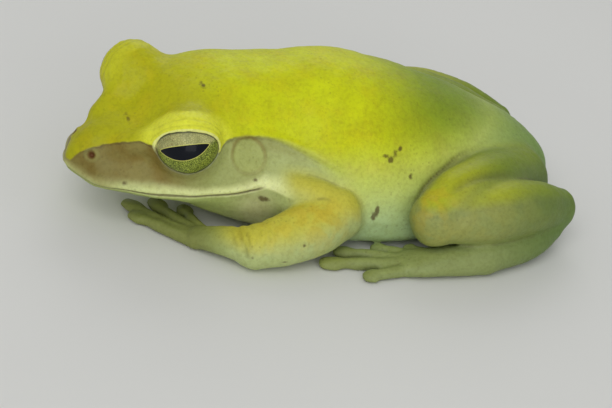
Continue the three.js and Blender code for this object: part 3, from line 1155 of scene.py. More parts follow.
def make_object(name: str, points: Array, faces: Array,
                values: dict[str, Array]) -> bpy.types.Object:
    """A smooth mesh object in metres.

    Args:
        name: The object's name.
        points: Places in millimetres.
        faces: Point numbers, three or four to a face.
        values: Numbers kept at each point, by name.

    Returns:
        The object, linked to the scene.
    """
    mesh = bpy.data.meshes.new(name)
    sides = faces.shape[1]
    mesh.vertices.add(len(points))
    mesh.vertices.foreach_set("co", (points * MM).astype(np.float32).ravel())
    mesh.loops.add(faces.size)
    mesh.loops.foreach_set("vertex_index", faces.astype(np.int32).ravel())
    mesh.polygons.add(len(faces))
    mesh.polygons.foreach_set("loop_start", np.arange(0, faces.size, sides, dtype=np.int32))
    mesh.update(calc_edges=True)
    mesh.validate()
    mesh.polygons.foreach_set("use_smooth", np.ones(len(faces), bool))
    for key, value in values.items():
        layer = mesh.attributes.new(key, "FLOAT", "POINT")
        layer.data.foreach_set("value", value.astype(np.float32))
    made = bpy.data.objects.new(name, mesh)
    bpy.context.scene.collection.objects.link(made)
    return made


# ---------------------------------------------------------------- shader building


def srgb(red: int, green: int, blue: int) -> Colour:
    """A colour in linear light, from its usual written numbers.

    Args:
        red: Red, 0 to 255.
        green: Green.
        blue: Blue.

    Returns:
        The colour.
    """
    def linear(value: float) -> float:
        """One channel in linear light."""
        share = value / 255.0
        return share / 12.92 if share <= 0.04045 else ((share + 0.055) / 1.055) ** 2.4

    return (linear(red), linear(green), linear(blue))


class Sheet:
    """A node tree being wired: each method adds a node and returns its output."""

    def __init__(self, tree: bpy.types.NodeTree) -> None:
        """Starts on an empty tree."""
        self.tree = tree

    def node(self, kind: str, values: dict[str | int, object], **options: object) -> bpy.types.Node:
        """Adds a node.

        Args:
            kind: The node's type name.
            values: Sockets or plain values for its inputs, by name or number.
            **options: Settings of the node itself.

        Returns:
            The node.
        """
        made = self.tree.nodes.new(kind)
        for key, value in options.items():
            setattr(made, key, value)
        for key, value in values.items():
            socket = made.inputs[key]
            if isinstance(value, Socket):
                self.tree.links.new(value, socket)
            elif isinstance(value, tuple) and len(value) == 3 and socket.type == "RGBA":
                socket.default_value = (*value, 1.0)
            else:
                socket.default_value = value
        return made

    def attribute(self, name: str) -> Socket:
        """The numbers kept at the mesh's points under a name."""
        return self.node("ShaderNodeAttribute", {}, attribute_name=name).outputs["Fac"]

    def place(self) -> Socket:
        """Places in the object's own space, in metres."""
        return self.node("ShaderNodeTexCoord", {}).outputs["Object"]

    def math(self, operation: str, a: object, b: object = 0.0) -> Socket:
        """A sum, product or other result of two numbers."""
        return self.node("ShaderNodeMath", {0: a, 1: b}, operation=operation).outputs[0]

    def times(self, a: object, b: object) -> Socket:
        """The product of two numbers."""
        return self.math("MULTIPLY", a, b)

    def step(self, value: object, low: float, high: float, to_low: float = 0.0,
             to_high: float = 1.0) -> Socket:
        """A smooth step, rising or falling.

        Args:
            value: What is stepped.
            low: Where the step starts. It may be above `high`.
            high: Where it ends.
            to_low: The result at `low` and beyond it.
            to_high: The result at `high` and beyond it.

        Returns:
            The result.
        """
        if low > high:
            low, high, to_low, to_high = high, low, to_high, to_low
        values = {"Value": value, "From Min": low, "From Max": high, "To Min": to_low, "To Max": to_high}
        return self.node("ShaderNodeMapRange", values, interpolation_type="SMOOTHSTEP").outputs["Result"]

    def mix(self, share: object, a: object, b: object, blend: str = "MIX") -> Socket:
        """A colour between two, or one laid over the other in another way."""
        values = {0: share, 6: a, 7: b}
        return self.node("ShaderNodeMix", values, data_type="RGBA", blend_type=blend).outputs[2]

    def noise(self, place: Socket, size: float, detail: float = 2.0, rough: float = 0.5) -> Socket:
        """Soft noise whose lumps are about `size` millimetres wide, 0 to 1."""
        values = {"Vector": place, "Scale": 1.0 / (size * MM), "Detail": detail, "Roughness": rough}
        return self.node("ShaderNodeTexNoise", values).outputs["Fac"]

    def group(self, group: bpy.types.NodeTree, values: dict[str, object]) -> bpy.types.Node:
        """Places a node group with its own values."""
        return self.node("ShaderNodeGroup", values, node_tree=group)


def new_group(name: str, inputs: dict[str, float | None],
              outputs: tuple[str, ...]) -> tuple[Sheet, dict[str, Socket], bpy.types.Node]:
    """Starts a shader node group.

    Args:
        name: The group's name.
        inputs: Its inputs and their values; None makes a vector input.
        outputs: Its number outputs.

    Returns:
        The sheet to wire it on, its inputs by name, and its output node.
    """
    tree = bpy.data.node_groups.new(name, "ShaderNodeTree")
    for key, value in inputs.items():
        kind = "NodeSocketVector" if value is None else "NodeSocketFloat"
        socket = tree.interface.new_socket(key, in_out="INPUT", socket_type=kind)
        if value is not None:
            socket.default_value = value
    for key in outputs:
        tree.interface.new_socket(key, in_out="OUTPUT", socket_type="NodeSocketFloat")
    entry = tree.nodes.new("NodeGroupInput")
    return Sheet(tree), {key: entry.outputs[key] for key in inputs}, tree.nodes.new("NodeGroupOutput")


class Effects:
    """The node groups that the skin and the eyes share."""

    def __init__(self) -> None:
        """Builds both groups."""
        self.mottle = self.make_mottle()
        self.grain = self.make_grain()

    def make_mottle(self) -> bpy.types.NodeTree:
        """Clouds and fine pepper that vary a colour.

        Returns:
            The group, which puts out two masks of 0 to 1.
        """
        inputs = {"Place": None, "Cloud Scale": 300.0, "Pepper Scale": 2500.0, "Pepper Share": 0.3}
        sheet, given, out = new_group("Mottle", inputs, ("Cloud", "Pepper"))
        cloud = sheet.node("ShaderNodeTexNoise", {
            "Vector": given["Place"], "Scale": given["Cloud Scale"], "Detail": 3.0, "Roughness": 0.55})
        pepper = sheet.node("ShaderNodeTexVoronoi", {
            "Vector": given["Place"], "Scale": given["Pepper Scale"], "Randomness": 1.0})
        chosen = sheet.node("ShaderNodeSeparateColor", {"Color": pepper.outputs["Color"]}).outputs[0]
        rare = sheet.math("LESS_THAN", chosen, given["Pepper Share"])
        dot = sheet.step(pepper.outputs["Distance"], 0.42, 0.18)
        sheet.tree.links.new(sheet.step(cloud.outputs["Fac"], 0.3, 0.7), out.inputs["Cloud"])
        sheet.tree.links.new(sheet.times(dot, rare), out.inputs["Pepper"])
        return sheet.tree

    def make_grain(self) -> bpy.types.NodeTree:
        """Small rounded grains over softer swells.

        Returns:
            The group, which puts out a height of 0 to 1.
        """
        inputs = {"Place": None, "Grain Scale": 3500.0, "Swell Scale": 900.0, "Swell Share": 0.4}
        sheet, given, out = new_group("Grain", inputs, ("Height",))
        grains = sheet.node("ShaderNodeTexVoronoi", {
            "Vector": given["Place"], "Scale": given["Grain Scale"], "Smoothness": 0.6}, feature="SMOOTH_F1")
        swell = sheet.node("ShaderNodeTexNoise", {
            "Vector": given["Place"], "Scale": given["Swell Scale"], "Detail": 3.0, "Roughness": 0.6})
        bead = sheet.math("SUBTRACT", 1.0, grains.outputs["Distance"])
        part = sheet.times(swell.outputs["Fac"], given["Swell Share"])
        rest = sheet.times(bead, sheet.math("SUBTRACT", 1.0, given["Swell Share"]))
        sheet.tree.links.new(sheet.math("ADD", part, rest), out.inputs["Height"])
        return sheet.tree


def start_material(name: str) -> tuple[bpy.types.Material, Sheet, bpy.types.Node]:
    """A new material with nothing but its shader and its output.

    Args:
        name: The material's name.

    Returns:
        The material, the sheet to wire it on, and its Principled shader.
    """
    material = bpy.data.materials.new(name)
    material.use_nodes = True
    tree = material.node_tree
    tree.nodes.clear()
    sheet = Sheet(tree)
    shader = sheet.node("ShaderNodeBsdfPrincipled", {})
    output = tree.nodes.new("ShaderNodeOutputMaterial")
    tree.links.new(shader.outputs[0], output.inputs["Surface"])
    return material, sheet, shader


@dataclass(frozen=True)
class SkinFinish:
    """Moist, finely grained skin: yellow above, brown and cream on the sides of the face."""

    head_top: Colour = srgb(180, 180, 0)
    back: Colour = srgb(206, 215, 0)
    back_shade: Colour = srgb(184, 184, 0)
    orange: Colour = srgb(196, 166, 0)
    lid: Colour = srgb(244, 248, 70)
    flank: Colour = srgb(194, 210, 124)
    belly: Colour = srgb(170, 194, 138)
    # Painted shade: the rump's colour below and the first tint further down darken and green the rear where
    # it lay in shadow; in part the back's own colour deepens there too.
    rump_in_shade: Colour = srgb(96, 122, 44)
    lore: Colour = srgb(128, 110, 46)
    cheek: Colour = srgb(176, 186, 116)
    eardrum: Colour = srgb(168, 176, 100)
    lip: Colour = srgb(236, 243, 170)
    jaw: Colour = srgb(162, 176, 102)
    throat: Colour = srgb(198, 192, 146)
    line: Colour = srgb(74, 58, 26)
    pit: Colour = srgb(96, 52, 24)
    arm_top: Colour = srgb(200, 194, 66)
    arm_glow: Colour = srgb(200, 170, 34)
    arm_low: Colour = srgb(180, 192, 124)
    leg_top: Colour = srgb(180, 186, 0)
    leg_side: Colour = srgb(148, 153, 80)
    leg_low: Colour = srgb(138, 150, 86)
    digit: Colour = srgb(130, 137, 72)
    upper_rim: Colour = srgb(232, 234, 150)
    lower_rim: Colour = srgb(104, 112, 90)
    spot: Colour = srgb(76, 54, 16)
    rump_shade_tint: Colour = (0.42, 0.56, 0.4)  # what the colours below are multiplied by
    # Multiplied into the snout's top as painted shade, and into the fine dark grain.
    dusky_and_shade_tint: Colour = (0.72, 0.7, 0.6)
    pale_tint: Colour = (1.3, 1.32, 1.5)
    roughness: float = 0.52
    grain_depth: float = 0.03  # millimetres

    def material(self, effects: Effects) -> bpy.types.Material:
        """Builds the skin's material.

        Args:
            effects: The shared node groups.

        Returns:
            The material.
        """
        material, s, shader = start_material("frog_skin")
        place = s.place()
        mottle = s.group(effects.mottle, {
            "Place": place, "Cloud Scale": 260.0, "Pepper Scale": 2300.0, "Pepper Share": 0.16})
        cloud, pepper = mottle.outputs["Cloud"], mottle.outputs["Pepper"]
        fine = s.noise(place, 0.7, 4.0, 0.6)
        top = self.top_colour(s, place, cloud, fine)
        side = self.side_colour(s, cloud, fine)
        above = s.step(s.attribute("dorsal"), -1.0, 1.0)
        colour = s.mix(above, side, top)
        colour = self.add_limbs(s, colour, place)
        # Painted shade over the rear, hips and thighs, partly the back's colour deepening there: multiplied
        # darker, then mixed towards the shaded rump colour.
        colour = s.mix(s.attribute("rear"), colour, self.rump_shade_tint, "MULTIPLY")
        colour = s.mix(s.times(s.attribute("rear"), 0.4), colour, self.rump_in_shade)
        # Painted shade: the top of the snout is darkened towards its tip, where it curves away from the
        # light.
        snout = s.step(s.attribute("back"), 8.0, 1.0, 0.0, 0.5)
        colour = s.mix(snout, colour, self.dusky_and_shade_tint, "MULTIPLY")
        colour = self.add_lines(s, colour, place)
        dots = s.times(pepper, s.step(s.noise(place, 5.0), 0.45, 0.65, 0.12, 0.5))
        colour = s.mix(s.times(dots, 0.45), colour, self.spot)
        pale = s.step(s.noise(place, 1.5, 4.0, 0.65), 0.4, 0.7, 0.0, 0.28)
        colour = s.mix(pale, colour, s.mix(1.0, colour, self.pale_tint, "MULTIPLY"))
        dark = s.step(s.noise(place, 0.45, 3.0, 0.6), 0.55, 0.35, 0.0, 0.36)
        colour = s.mix(dark, colour, self.dusky_and_shade_tint, "MULTIPLY")
        grain = s.group(effects.grain, {
            "Place": place, "Grain Scale": 3300.0, "Swell Scale": 800.0, "Swell Share": 0.45})
        bump = s.node("ShaderNodeBump", {
            "Height": grain.outputs["Height"], "Distance": self.grain_depth * MM, "Strength": 1.0})
        rough = s.step(grain.outputs["Height"], 0.3, 0.8, self.roughness + 0.08, self.roughness - 0.06)
        s.tree.links.new(colour, shader.inputs["Base Color"])
        s.tree.links.new(rough, shader.inputs["Roughness"])
        s.tree.links.new(bump.outputs[0], shader.inputs["Normal"])
        shader.inputs["IOR"].default_value = 1.33
        shader.inputs["Subsurface Weight"].default_value = 0.12
        shader.inputs["Subsurface Radius"].default_value = (1.0, 0.8, 0.3)
        shader.inputs["Subsurface Scale"].default_value = 0.6 * MM
        shader.inputs["Coat Weight"].default_value = 0.06
        shader.inputs["Coat Roughness"].default_value = 0.25
        return material

    def top_colour(self, s: Sheet, place: Socket, cloud: Socket, fine: Socket) -> Socket:
        """Mixes the yellow of the head's top and the back, paler on the lids.

        Args:
            s: The material's sheet.
            place: Places on the skin.
            cloud: Wide clouds, 0 to 1.
            fine: Fine clouds, 0 to 1.

        Returns:
            The colour.
        """
        colour = s.mix(s.attribute("headness"), self.back, self.head_top)
        shade = s.times(cloud, s.step(fine, 0.3, 0.7, 0.25, 0.75))
        colour = s.mix(shade, colour, self.back_shade)
        colour = s.mix(s.step(s.noise(place, 3.0, 3.0), 0.45, 0.7, 0.0, 0.2), colour, self.orange)
        # Paler lids; the right lid gets less of this, as painted shade.
        return s.mix(s.step(s.attribute("dome"), 0.0, 1.0, 0.0, 0.7), colour, self.lid)

    def side_colour(self, s: Sheet, cloud: Socket, fine: Socket) -> Socket:
        """Mixes the flanks and belly, and the face below the yellow: lore, cheek, eardrum, lips.

        Args:
            s: The material's sheet.
            cloud: Wide clouds, 0 to 1.
            fine: Fine clouds, 0 to 1.

        Returns:
            The colour.
        """
        flank = s.mix(s.attribute("low"), self.flank, self.belly)
        lore = s.mix(s.step(cloud, 0.0, 1.0, 0.0, 0.2), self.lore, self.cheek)
        face = s.mix(s.attribute("lore"), self.cheek, lore)
        inside = s.step(s.attribute("drum"), 1.05, 0.85)
        face = s.mix(s.times(inside, 0.8), face, self.eardrum)
        lip = s.attribute("lip")
        band = s.times(s.step(lip, 1.7, 0.35), s.step(fine, 0.2, 0.6, 0.8, 1.0))
        band = s.times(band, s.step(s.attribute("back"), 3.0, 17.0, 0.35, 1.0))
        face = s.mix(band, face, self.lip)
        face = s.mix(s.step(lip, 0.0, -0.35), face, self.jaw)
        return s.mix(s.attribute("face"), flank, face)

    def add_limbs(self, s: Sheet, colour: Socket, place: Socket) -> Socket:
        """Lays the arms', legs' and digits' colours over the body's.

        Args:
            s: The material's sheet.
            colour: The body's colour.
            place: Places on the skin.

        Returns:
            The colour.
        """
        height = s.attribute("limb_height")
        glow = s.times(s.step(s.noise(place, 2.0, 3.0), 0.42, 0.6), s.attribute("glow"))
        arm = s.mix(s.step(height, 0.0, 0.95), self.arm_low, self.arm_top)
        arm = s.mix(s.times(glow, 0.6), arm, self.arm_glow)
        leg = s.mix(s.step(height, -0.9, -0.2), self.leg_low, self.leg_side)
        patches = s.times(s.step(s.noise(place, 2.4, 3.0), 0.42, 0.6), 0.5)
        leg = s.mix(patches, leg, self.leg_low)
        leg = s.mix(s.step(height, 0.66, 1.02, 0.0, 0.85), leg, self.leg_top)
        colour = s.mix(s.attribute("arm"), colour, arm)
        leg = s.mix(s.times(glow, 0.5), leg, self.arm_glow)
        colour = s.mix(s.attribute("leg"), colour, leg)
        colour = s.mix(s.attribute("digit"), colour, self.digit)
        return s.mix(s.times(s.attribute("armpit"), 0.7), colour, self.throat)

    def add_lines(self, s: Sheet, colour: Socket, place: Socket) -> Socket:
        """Draws the dark lines, the lids' rims, the eardrum's ring, painted shade in hollows, folds and the
        nostrils' openings, and spots.

        Args:
            s: The material's sheet.
            colour: The skin's colour without them.
            place: Places on the skin.

        Returns:
            The colour.
        """
        edge = s.attribute("edge")
        wander = s.step(s.noise(place, 0.8), 0.3, 0.7, -0.12, 0.12)
        under = s.math("ADD", edge, wander)
        thin = s.times(s.step(under, -0.42, -0.1), s.step(under, 0.06, -0.08))
        thin = s.times(thin, s.step(s.noise(place, 2.2, 3.0), 0.3, 0.6, 0.15, 0.5))
        colour = s.mix(s.times(thin, s.attribute("outline")), colour, self.line)
        drum = s.attribute("drum")
        ring = s.times(s.step(drum, 0.78, 0.96), s.step(drum, 1.16, 1.0))
        colour = s.mix(s.times(ring, s.step(edge, -3.6, -1.2, 0.2, 0.5)), colour, self.lore)
        lips = s.step(s.math("ABSOLUTE", s.attribute("lip")), 0.22, 0.06)
        mouth = s.times(lips, s.attribute("mouth"))
        colour = s.mix(s.times(mouth, 0.75), colour, self.line)
        pit = s.attribute("nostril")
        halo = s.times(s.step(pit, 1.15, 0.8), s.step(pit, 0.5, 0.7))
        colour = s.mix(s.times(halo, 0.14), colour, self.cheek)
        # The nostril's opening: reddish-brown, darkened at its middle as painted shade of the hole.
        colour = s.mix(s.step(pit, 0.6, 0.25, 0.0, 0.9), colour, self.pit)
        rim = s.attribute("lid_edge")
        upper = s.attribute("lid_up")
        margin = s.mix(upper, self.lower_rim, self.upper_rim)
        strength = s.times(s.step(rim, 0.38, 0.16), s.step(upper, 0.0, 1.0, 0.5, 0.8))
        colour = s.mix(strength, colour, margin)
        colour = s.mix(s.step(rim, 0.07, 0.0, 0.0, 0.8), colour, self.line)
        # Painted shade in the skin's hollows and creases.
        colour = s.mix(s.step(s.attribute("crease"), 0.4, 1.0, 0.0, 0.3), colour, self.line)
        # Painted shade along the folds of the limbs and round the lids.
        colour = s.mix(s.attribute("fold"), colour, self.line)
        ragged = s.math("ADD", s.attribute("spot"), s.step(s.noise(place, 0.6, 2.0), 0.3, 0.7, -0.08, 0.08))
        return s.mix(s.step(ragged, 0.16, -0.12, 0.0, 0.8), colour, self.spot)


@dataclass(frozen=True)
class EyeFinish:
    """A gold and olive iris with a dark net in it, round a black half-moon pupil."""

    upper: Colour = srgb(196, 194, 128)
    lower: Colour = srgb(164, 178, 70)
    net: Colour = srgb(44, 58, 20)
    red: Colour = srgb(120, 60, 36)
    pupil: Colour = srgb(6, 10, 20)
    border: Colour = srgb(216, 214, 110)
    # The dark limbus, with the lids' shadow on the ball painted into it.
    limbus_and_lid_shadow: Colour = srgb(40, 44, 30)
    relief: float = 0.02  # millimetres

    def material(self, effects: Effects) -> bpy.types.Material:
        """Builds the eyes' material.

        Args:
            effects: The shared node groups.

        Returns:
            The material.
        """
        material, s, shader = start_material("frog_eye")
        place = s.place()
        above = s.attribute("above")
        pupil = s.attribute("pupil")
        mottle = s.group(effects.mottle, {
            "Place": place, "Cloud Scale": 900.0, "Pepper Scale": 6000.0, "Pepper Share": 0.4})
        net = s.node("ShaderNodeTexVoronoi", {"Vector": place, "Scale": 4200.0}, feature="DISTANCE_TO_EDGE")
        mesh = s.step(net.outputs["Distance"], 0.2, 0.03)
        mesh = s.times(mesh, s.step(above, 6.0, -4.0, 0.35, 0.8))
        colour = s.mix(s.step(above, -6.0, 6.0), self.lower, self.upper)
        colour = s.mix(s.times(mottle.outputs["Cloud"], 0.35), colour, self.net)
        colour = s.mix(mesh, colour, self.net)
        ahead = s.times(s.step(above, 0.0, 8.0), s.attribute("ahead"))
        specks = s.times(mottle.outputs["Pepper"], ahead)
        colour = s.mix(s.times(specks, 0.85), colour, self.red)
        # A dark band along the lids' edge: the eye's limbus, with the lids' shadow painted on the ball.
        colour = s.mix(s.step(s.attribute("rim"), 0.28, 0.05, 0.0, 0.8), colour, self.limbus_and_lid_shadow)
        colour = s.mix(s.step(pupil, 0.13, 0.06), colour, self.border)
        colour = s.mix(s.step(pupil, 0.04, 0.0), colour, self.pupil)
        grain = s.group(effects.grain, {
            "Place": place, "Grain Scale": 5000.0, "Swell Scale": 2000.0, "Swell Share": 0.5})
        bump = s.node("ShaderNodeBump", {
            "Height": grain.outputs["Height"], "Distance": self.relief * MM, "Strength": 1.0})
        s.tree.links.new(colour, shader.inputs["Base Color"])
        s.tree.links.new(bump.outputs[0], shader.inputs["Normal"])
        shader.inputs["Roughness"].default_value = 0.4
        shader.inputs["IOR"].default_value = 1.2
        shader.inputs["Coat Weight"].default_value = 0.35
        shader.inputs["Coat IOR"].default_value = 1.33
        shader.inputs["Coat Roughness"].default_value = 0.03
        return material


@dataclass(frozen=True)
class FloorFinish:
    """A matt, pale grey board."""

    colour: Colour = srgb(226, 226, 222)
    cloud: Colour = (0.6, 0.6, 0.58)

    def material(self) -> bpy.types.Material:
        """Builds the floor's material.

        Returns:
            The material.
        """
        material, s, shader = start_material("floor")
        clouds = s.step(s.noise(s.place(), 40.0, 2.0), 0.3, 0.7, 0.0, 0.06)
        tone = s.mix(clouds, self.colour, self.cloud)
        s.tree.links.new(tone, shader.inputs["Base Color"])
        shader.inputs["Roughness"].default_value = 0.85
        return material


# ---------------------------------------------------------------- the pieces


@dataclass(frozen=True)
class Zones:
    """Where the skin's colours change. Places are on one side, with Y counted outwards."""

    # How softly the yellow ends: distance back from the snout, and half the blur.
    edge_blur: Table = (
        (0.0, 0.16), (17.0, 0.16), (23.0, 0.25), (26.0, 0.7), (29.0, 1.6), (32.0, 3.0), (36.0, 5.0))
    # The height that the back's colour comes down to: X, and millimetres over the lowest.
    back_lowest: float = 9.8
    back_level: Table = ((-20.0, 2.4), (0.0, 0.0), (8.0, 1.6), (16.0, 4.6), (22.0, 5.4))
    back_blur: float = 5.0
    elbow: Place = (-8.9, 15.6, 7.4)
    elbow_width: float = 4.6
    knee: Place = (5.2, 18.0, 8.6)
    knee_width: float = 2.6
    knee_stretch: Place = (1.0, 1.0, 1.6)
    armpit: Place = (-15.0, 11.0, 4.4)
    armpit_width: float = 3.2
    far: float = 3.0  # where coordinates that count only close by stop


class Markings:
    """Smooth coordinates on the skin, which its colours and relief are drawn by."""

    def __init__(self, body: Body, p: Array) -> None:
        """Works out every coordinate.

        Args:
            body: The frog's field.
            p: The skin's points.
        """
        self.zones, self.head = Zones(), body.head
        self.weights = body.nearness(p)
        q = self.head.placed.to_head(p)
        self.lip, self.mouth = self.head.mouth_gap(q)
        self.mark_top(p, q)
        self.mark_face(p, q)
        self.mark_limbs(p)
        self.mark_lids(p, q)

    def mark_top(self, p: Array, q: Array) -> None:
        """Marks the yellow top: its edge on the head, and its level on the trunk.

        Args:
            p: The skin's points.
            q: The same in the head's axes.
        """
        head, zones, back, out = self.head, self.zones, q[:, 0], np.abs(q[:, 1])
        beside, _ = distance_to_line(q[:, [0, 2]], smooth_path(np.array(head.mask_line), 90))
        limit = np.interp(back, *monotone_table(*np.array(head.mask_turn).T, 200))
        limit -= head.mask_right * ramp(-0.5, 0.5, q[:, 1]) * ramp(0.0, 1.0, back)
        rise = q[:, 2] + head.mask_low
        over_snout = (np.arctan2(rise, out) - np.radians(limit)) * np.hypot(out, rise)
        on_snout = ramp(13.5, 11.0, back)
        edge = on_snout * over_snout + (1 - on_snout) * beside
        self.edge = np.minimum(edge, q[:, 2] - head.tip_line + 4.0 * ramp(0.8, 3.0, back))
        level = zones.back_lowest + read_table(zones.back_level, p[:, 0])
        on_trunk = (p[:, 2] - level) / zones.back_blur
        behind = ramp(-9.0, 1.0, p[:, 0])
        on_head = self.edge / read_table(zones.edge_blur, back)
        self.dorsal = np.clip((1 - behind) * on_head + behind * on_trunk, -1.2, 1.2)

    def mark_face(self, p: Array, q: Array) -> None:
        """Marks the face's zones, the eardrum, the nostrils and the belly.

        Args:
            p: The skin's points.
            q: The same in the head's axes.
        """
        head, back, out, up = self.head, q[:, 0], np.abs(q[:, 1]), q[:, 2]
        self.back = back
        self.headness = ramp(23.0, 12.0, back)
        self.face = ramp(33.0, 25.0, back)
        self.low = ramp(9.0, 3.0, p[:, 2] + 0.25 * waves(p, 6.0, 1))
        over_lip = self.lip + 0.15 * waves(p, 2.5, 2) + 0.05 * back + 0.8 * ramp(7.0, 1.0, back)
        on_lore = (0.15 + 0.85 * ramp(15.5, 8.0, back)) * ramp(24.0, 19.0, back)
        self.lore = ramp(0.7, 1.9, over_lip) * on_lore
        behind_eye = ramp(17.0, 19.0, back) * ramp(31.0, 24.0, back)
        self.lore += 0.3 * bell(self.edge, -0.7, 0.9) * behind_eye
        self.outline = ramp(0.4, 1.6, back) * ramp(25.0, 20.0, back) * ramp(0.8, 1.4, out)
        drum = np.hypot(back - head.eardrum[0], up - head.eardrum[1]) / head.eardrum_radius
        self.drum = np.where(out > 5.0, np.minimum(drum, self.zones.far), self.zones.far)
        n = head.nostril
        self.nostril = np.sqrt((back - n[0]) ** 2 + (out + n[1]) ** 2 + (up - n[2]) ** 2)

    def mark_limbs(self, p: Array) -> None:
        """Marks the painted shade over the rear, hips and thighs, where the back's colour also deepens, the
        warm elbows and knees and the pale armpits.

        Args:
            p: The skin's points.
        """
        zones, weights, x, z = self.zones, self.weights, p[:, 0], p[:, 2]
        # Painted shade: darker over the hips, on the thighs and towards the rear, where a shadow lay; in
        # part a real deepening of the colour.
        hip_shade = 0.95 * ramp(-3.0, 12.0, x) * ramp(11.0, 16.5, z)
        thigh = 0.8 * ramp(8.0, 17.0, x) * weights[Region.THIGH]
        self.rear = np.maximum.reduce([ramp(10.0, 28.0, x), hip_shade, thigh])
        folded = np.column_stack([x, np.abs(p[:, 1]), z])

        def close_to(place: Place, width: float, stretch: Place = (1.0, 1.0, 1.0)) -> Array:
            """How close the points are to a place, 1 at it."""
            return bell(np.linalg.norm((folded - place) / stretch, axis=1), 0.0, width)

        elbow = np.maximum(close_to(zones.elbow, zones.elbow_width), 0.4 * ramp(2.5, 5.0, z))
        knee = close_to(zones.knee, zones.knee_width, zones.knee_stretch)
        knee *= weights[Region.THIGH] + weights[Region.SHANK]
        self.glow = np.maximum(weights[Region.FOREARM] * elbow, knee)
        self.armpit = close_to(zones.armpit, zones.armpit_width)

    def mark_lids(self, p: Array, q: Array) -> None:
        """Marks the lids: their edge, which of them is the upper one, and their pale dome, dimmed on the
        right lid as painted shade.

        Args:
            p: The skin's points.
            q: The same in the head's axes.
        """
        eye = self.head.eye
        edges = [self.head.lid_edge(p, side) for side in Side]
        nearer = edges[0][1] < edges[1][1]
        rim, self.radius = (np.where(nearer, edges[0][i], edges[1][i]) for i in (0, 1))
        self.lid_edge = np.where(self.radius < eye.lid + 0.3, np.abs(rim), self.zones.far)
        angles = [self.head.look_angles(p, side)[1] for side in Side]
        self.lid_up = ramp(-14.0, 6.0, np.where(nearer, angles[0], angles[1]))
        around = ramp(7.0, 2.5, np.abs(rim)) * ramp(eye.lid + 3.4, eye.lid - 0.3, self.radius)
        high = ramp(-1.0, 2.0, q[:, 2] - eye.centre[2] + 1.5)
        # The right lid gets less of the pale dome: painted shade on the far lid.
        self.dome = around * high * (1 - 0.6 * ramp(-1.0, 1.0, q[:, 1]))

    def limb_height(self, body: Body, p: Array) -> Array:
        """How high points are over their limb's centre line, soft between limbs.

        Args:
            body: The frog's field.
            p: The skin's points.

        Returns:
            Heights of -1 to 1.
        """
        total, weight = np.zeros(len(p)), np.full(len(p), 1e-6)
        for form in body.forms:
            if isinstance(form.shape, Sweep):
                inside = ((p > form.low - 1.0) & (p < form.high + 1.0)).all(1)
                if inside.any():
                    d, _, height = form.shape.locate(p[inside])
                    share = np.exp(-np.maximum(d, 0) / 0.35)
                    total[inside] += share * height
                    weight[inside] += share
        return np.clip(total / weight, -1, 1)


@dataclass
class Fold:
    """A crease along a line on the skin, given on the left side."""

    path: tuple[Place, ...]
    depth: float
    width: float
    # How dark the painted shade in the crease is drawn.
    shade: float  # how dark it is drawn, 0 to 1
    tuck: float = 1.0  # the right limb's share of the left one's distance from the middle
    steps: int = 36
    fade: float = 0.25  # the share of its length that it fades over at each end

    def nearness(self, p: Array) -> Array:
        """How near points are to the crease of their own side.

        Args:
            p: Points, (n, 3).

        Returns:
            1 in the crease and 0 away from it.
        """
        away, along = np.full(len(p), 9.0), np.zeros(len(p))
        aside = np.where(p[:, 1] < 0, p[:, 1], -p[:, 1] / self.tuck)
        place = np.column_stack([p[:, 0], aside, p[:, 2]])
        for i, point in enumerate(smooth_path(np.array(self.path), self.steps)):
            gap = np.linalg.norm(place - point, axis=1)
            along[gap < away] = i / (self.steps - 1)
            away = np.minimum(away, gap)
        ends = ramp(0.0, self.fade, along) * ramp(1.0, 1 - self.fade, along)
        return bell(away, 0.0, self.width) * ends


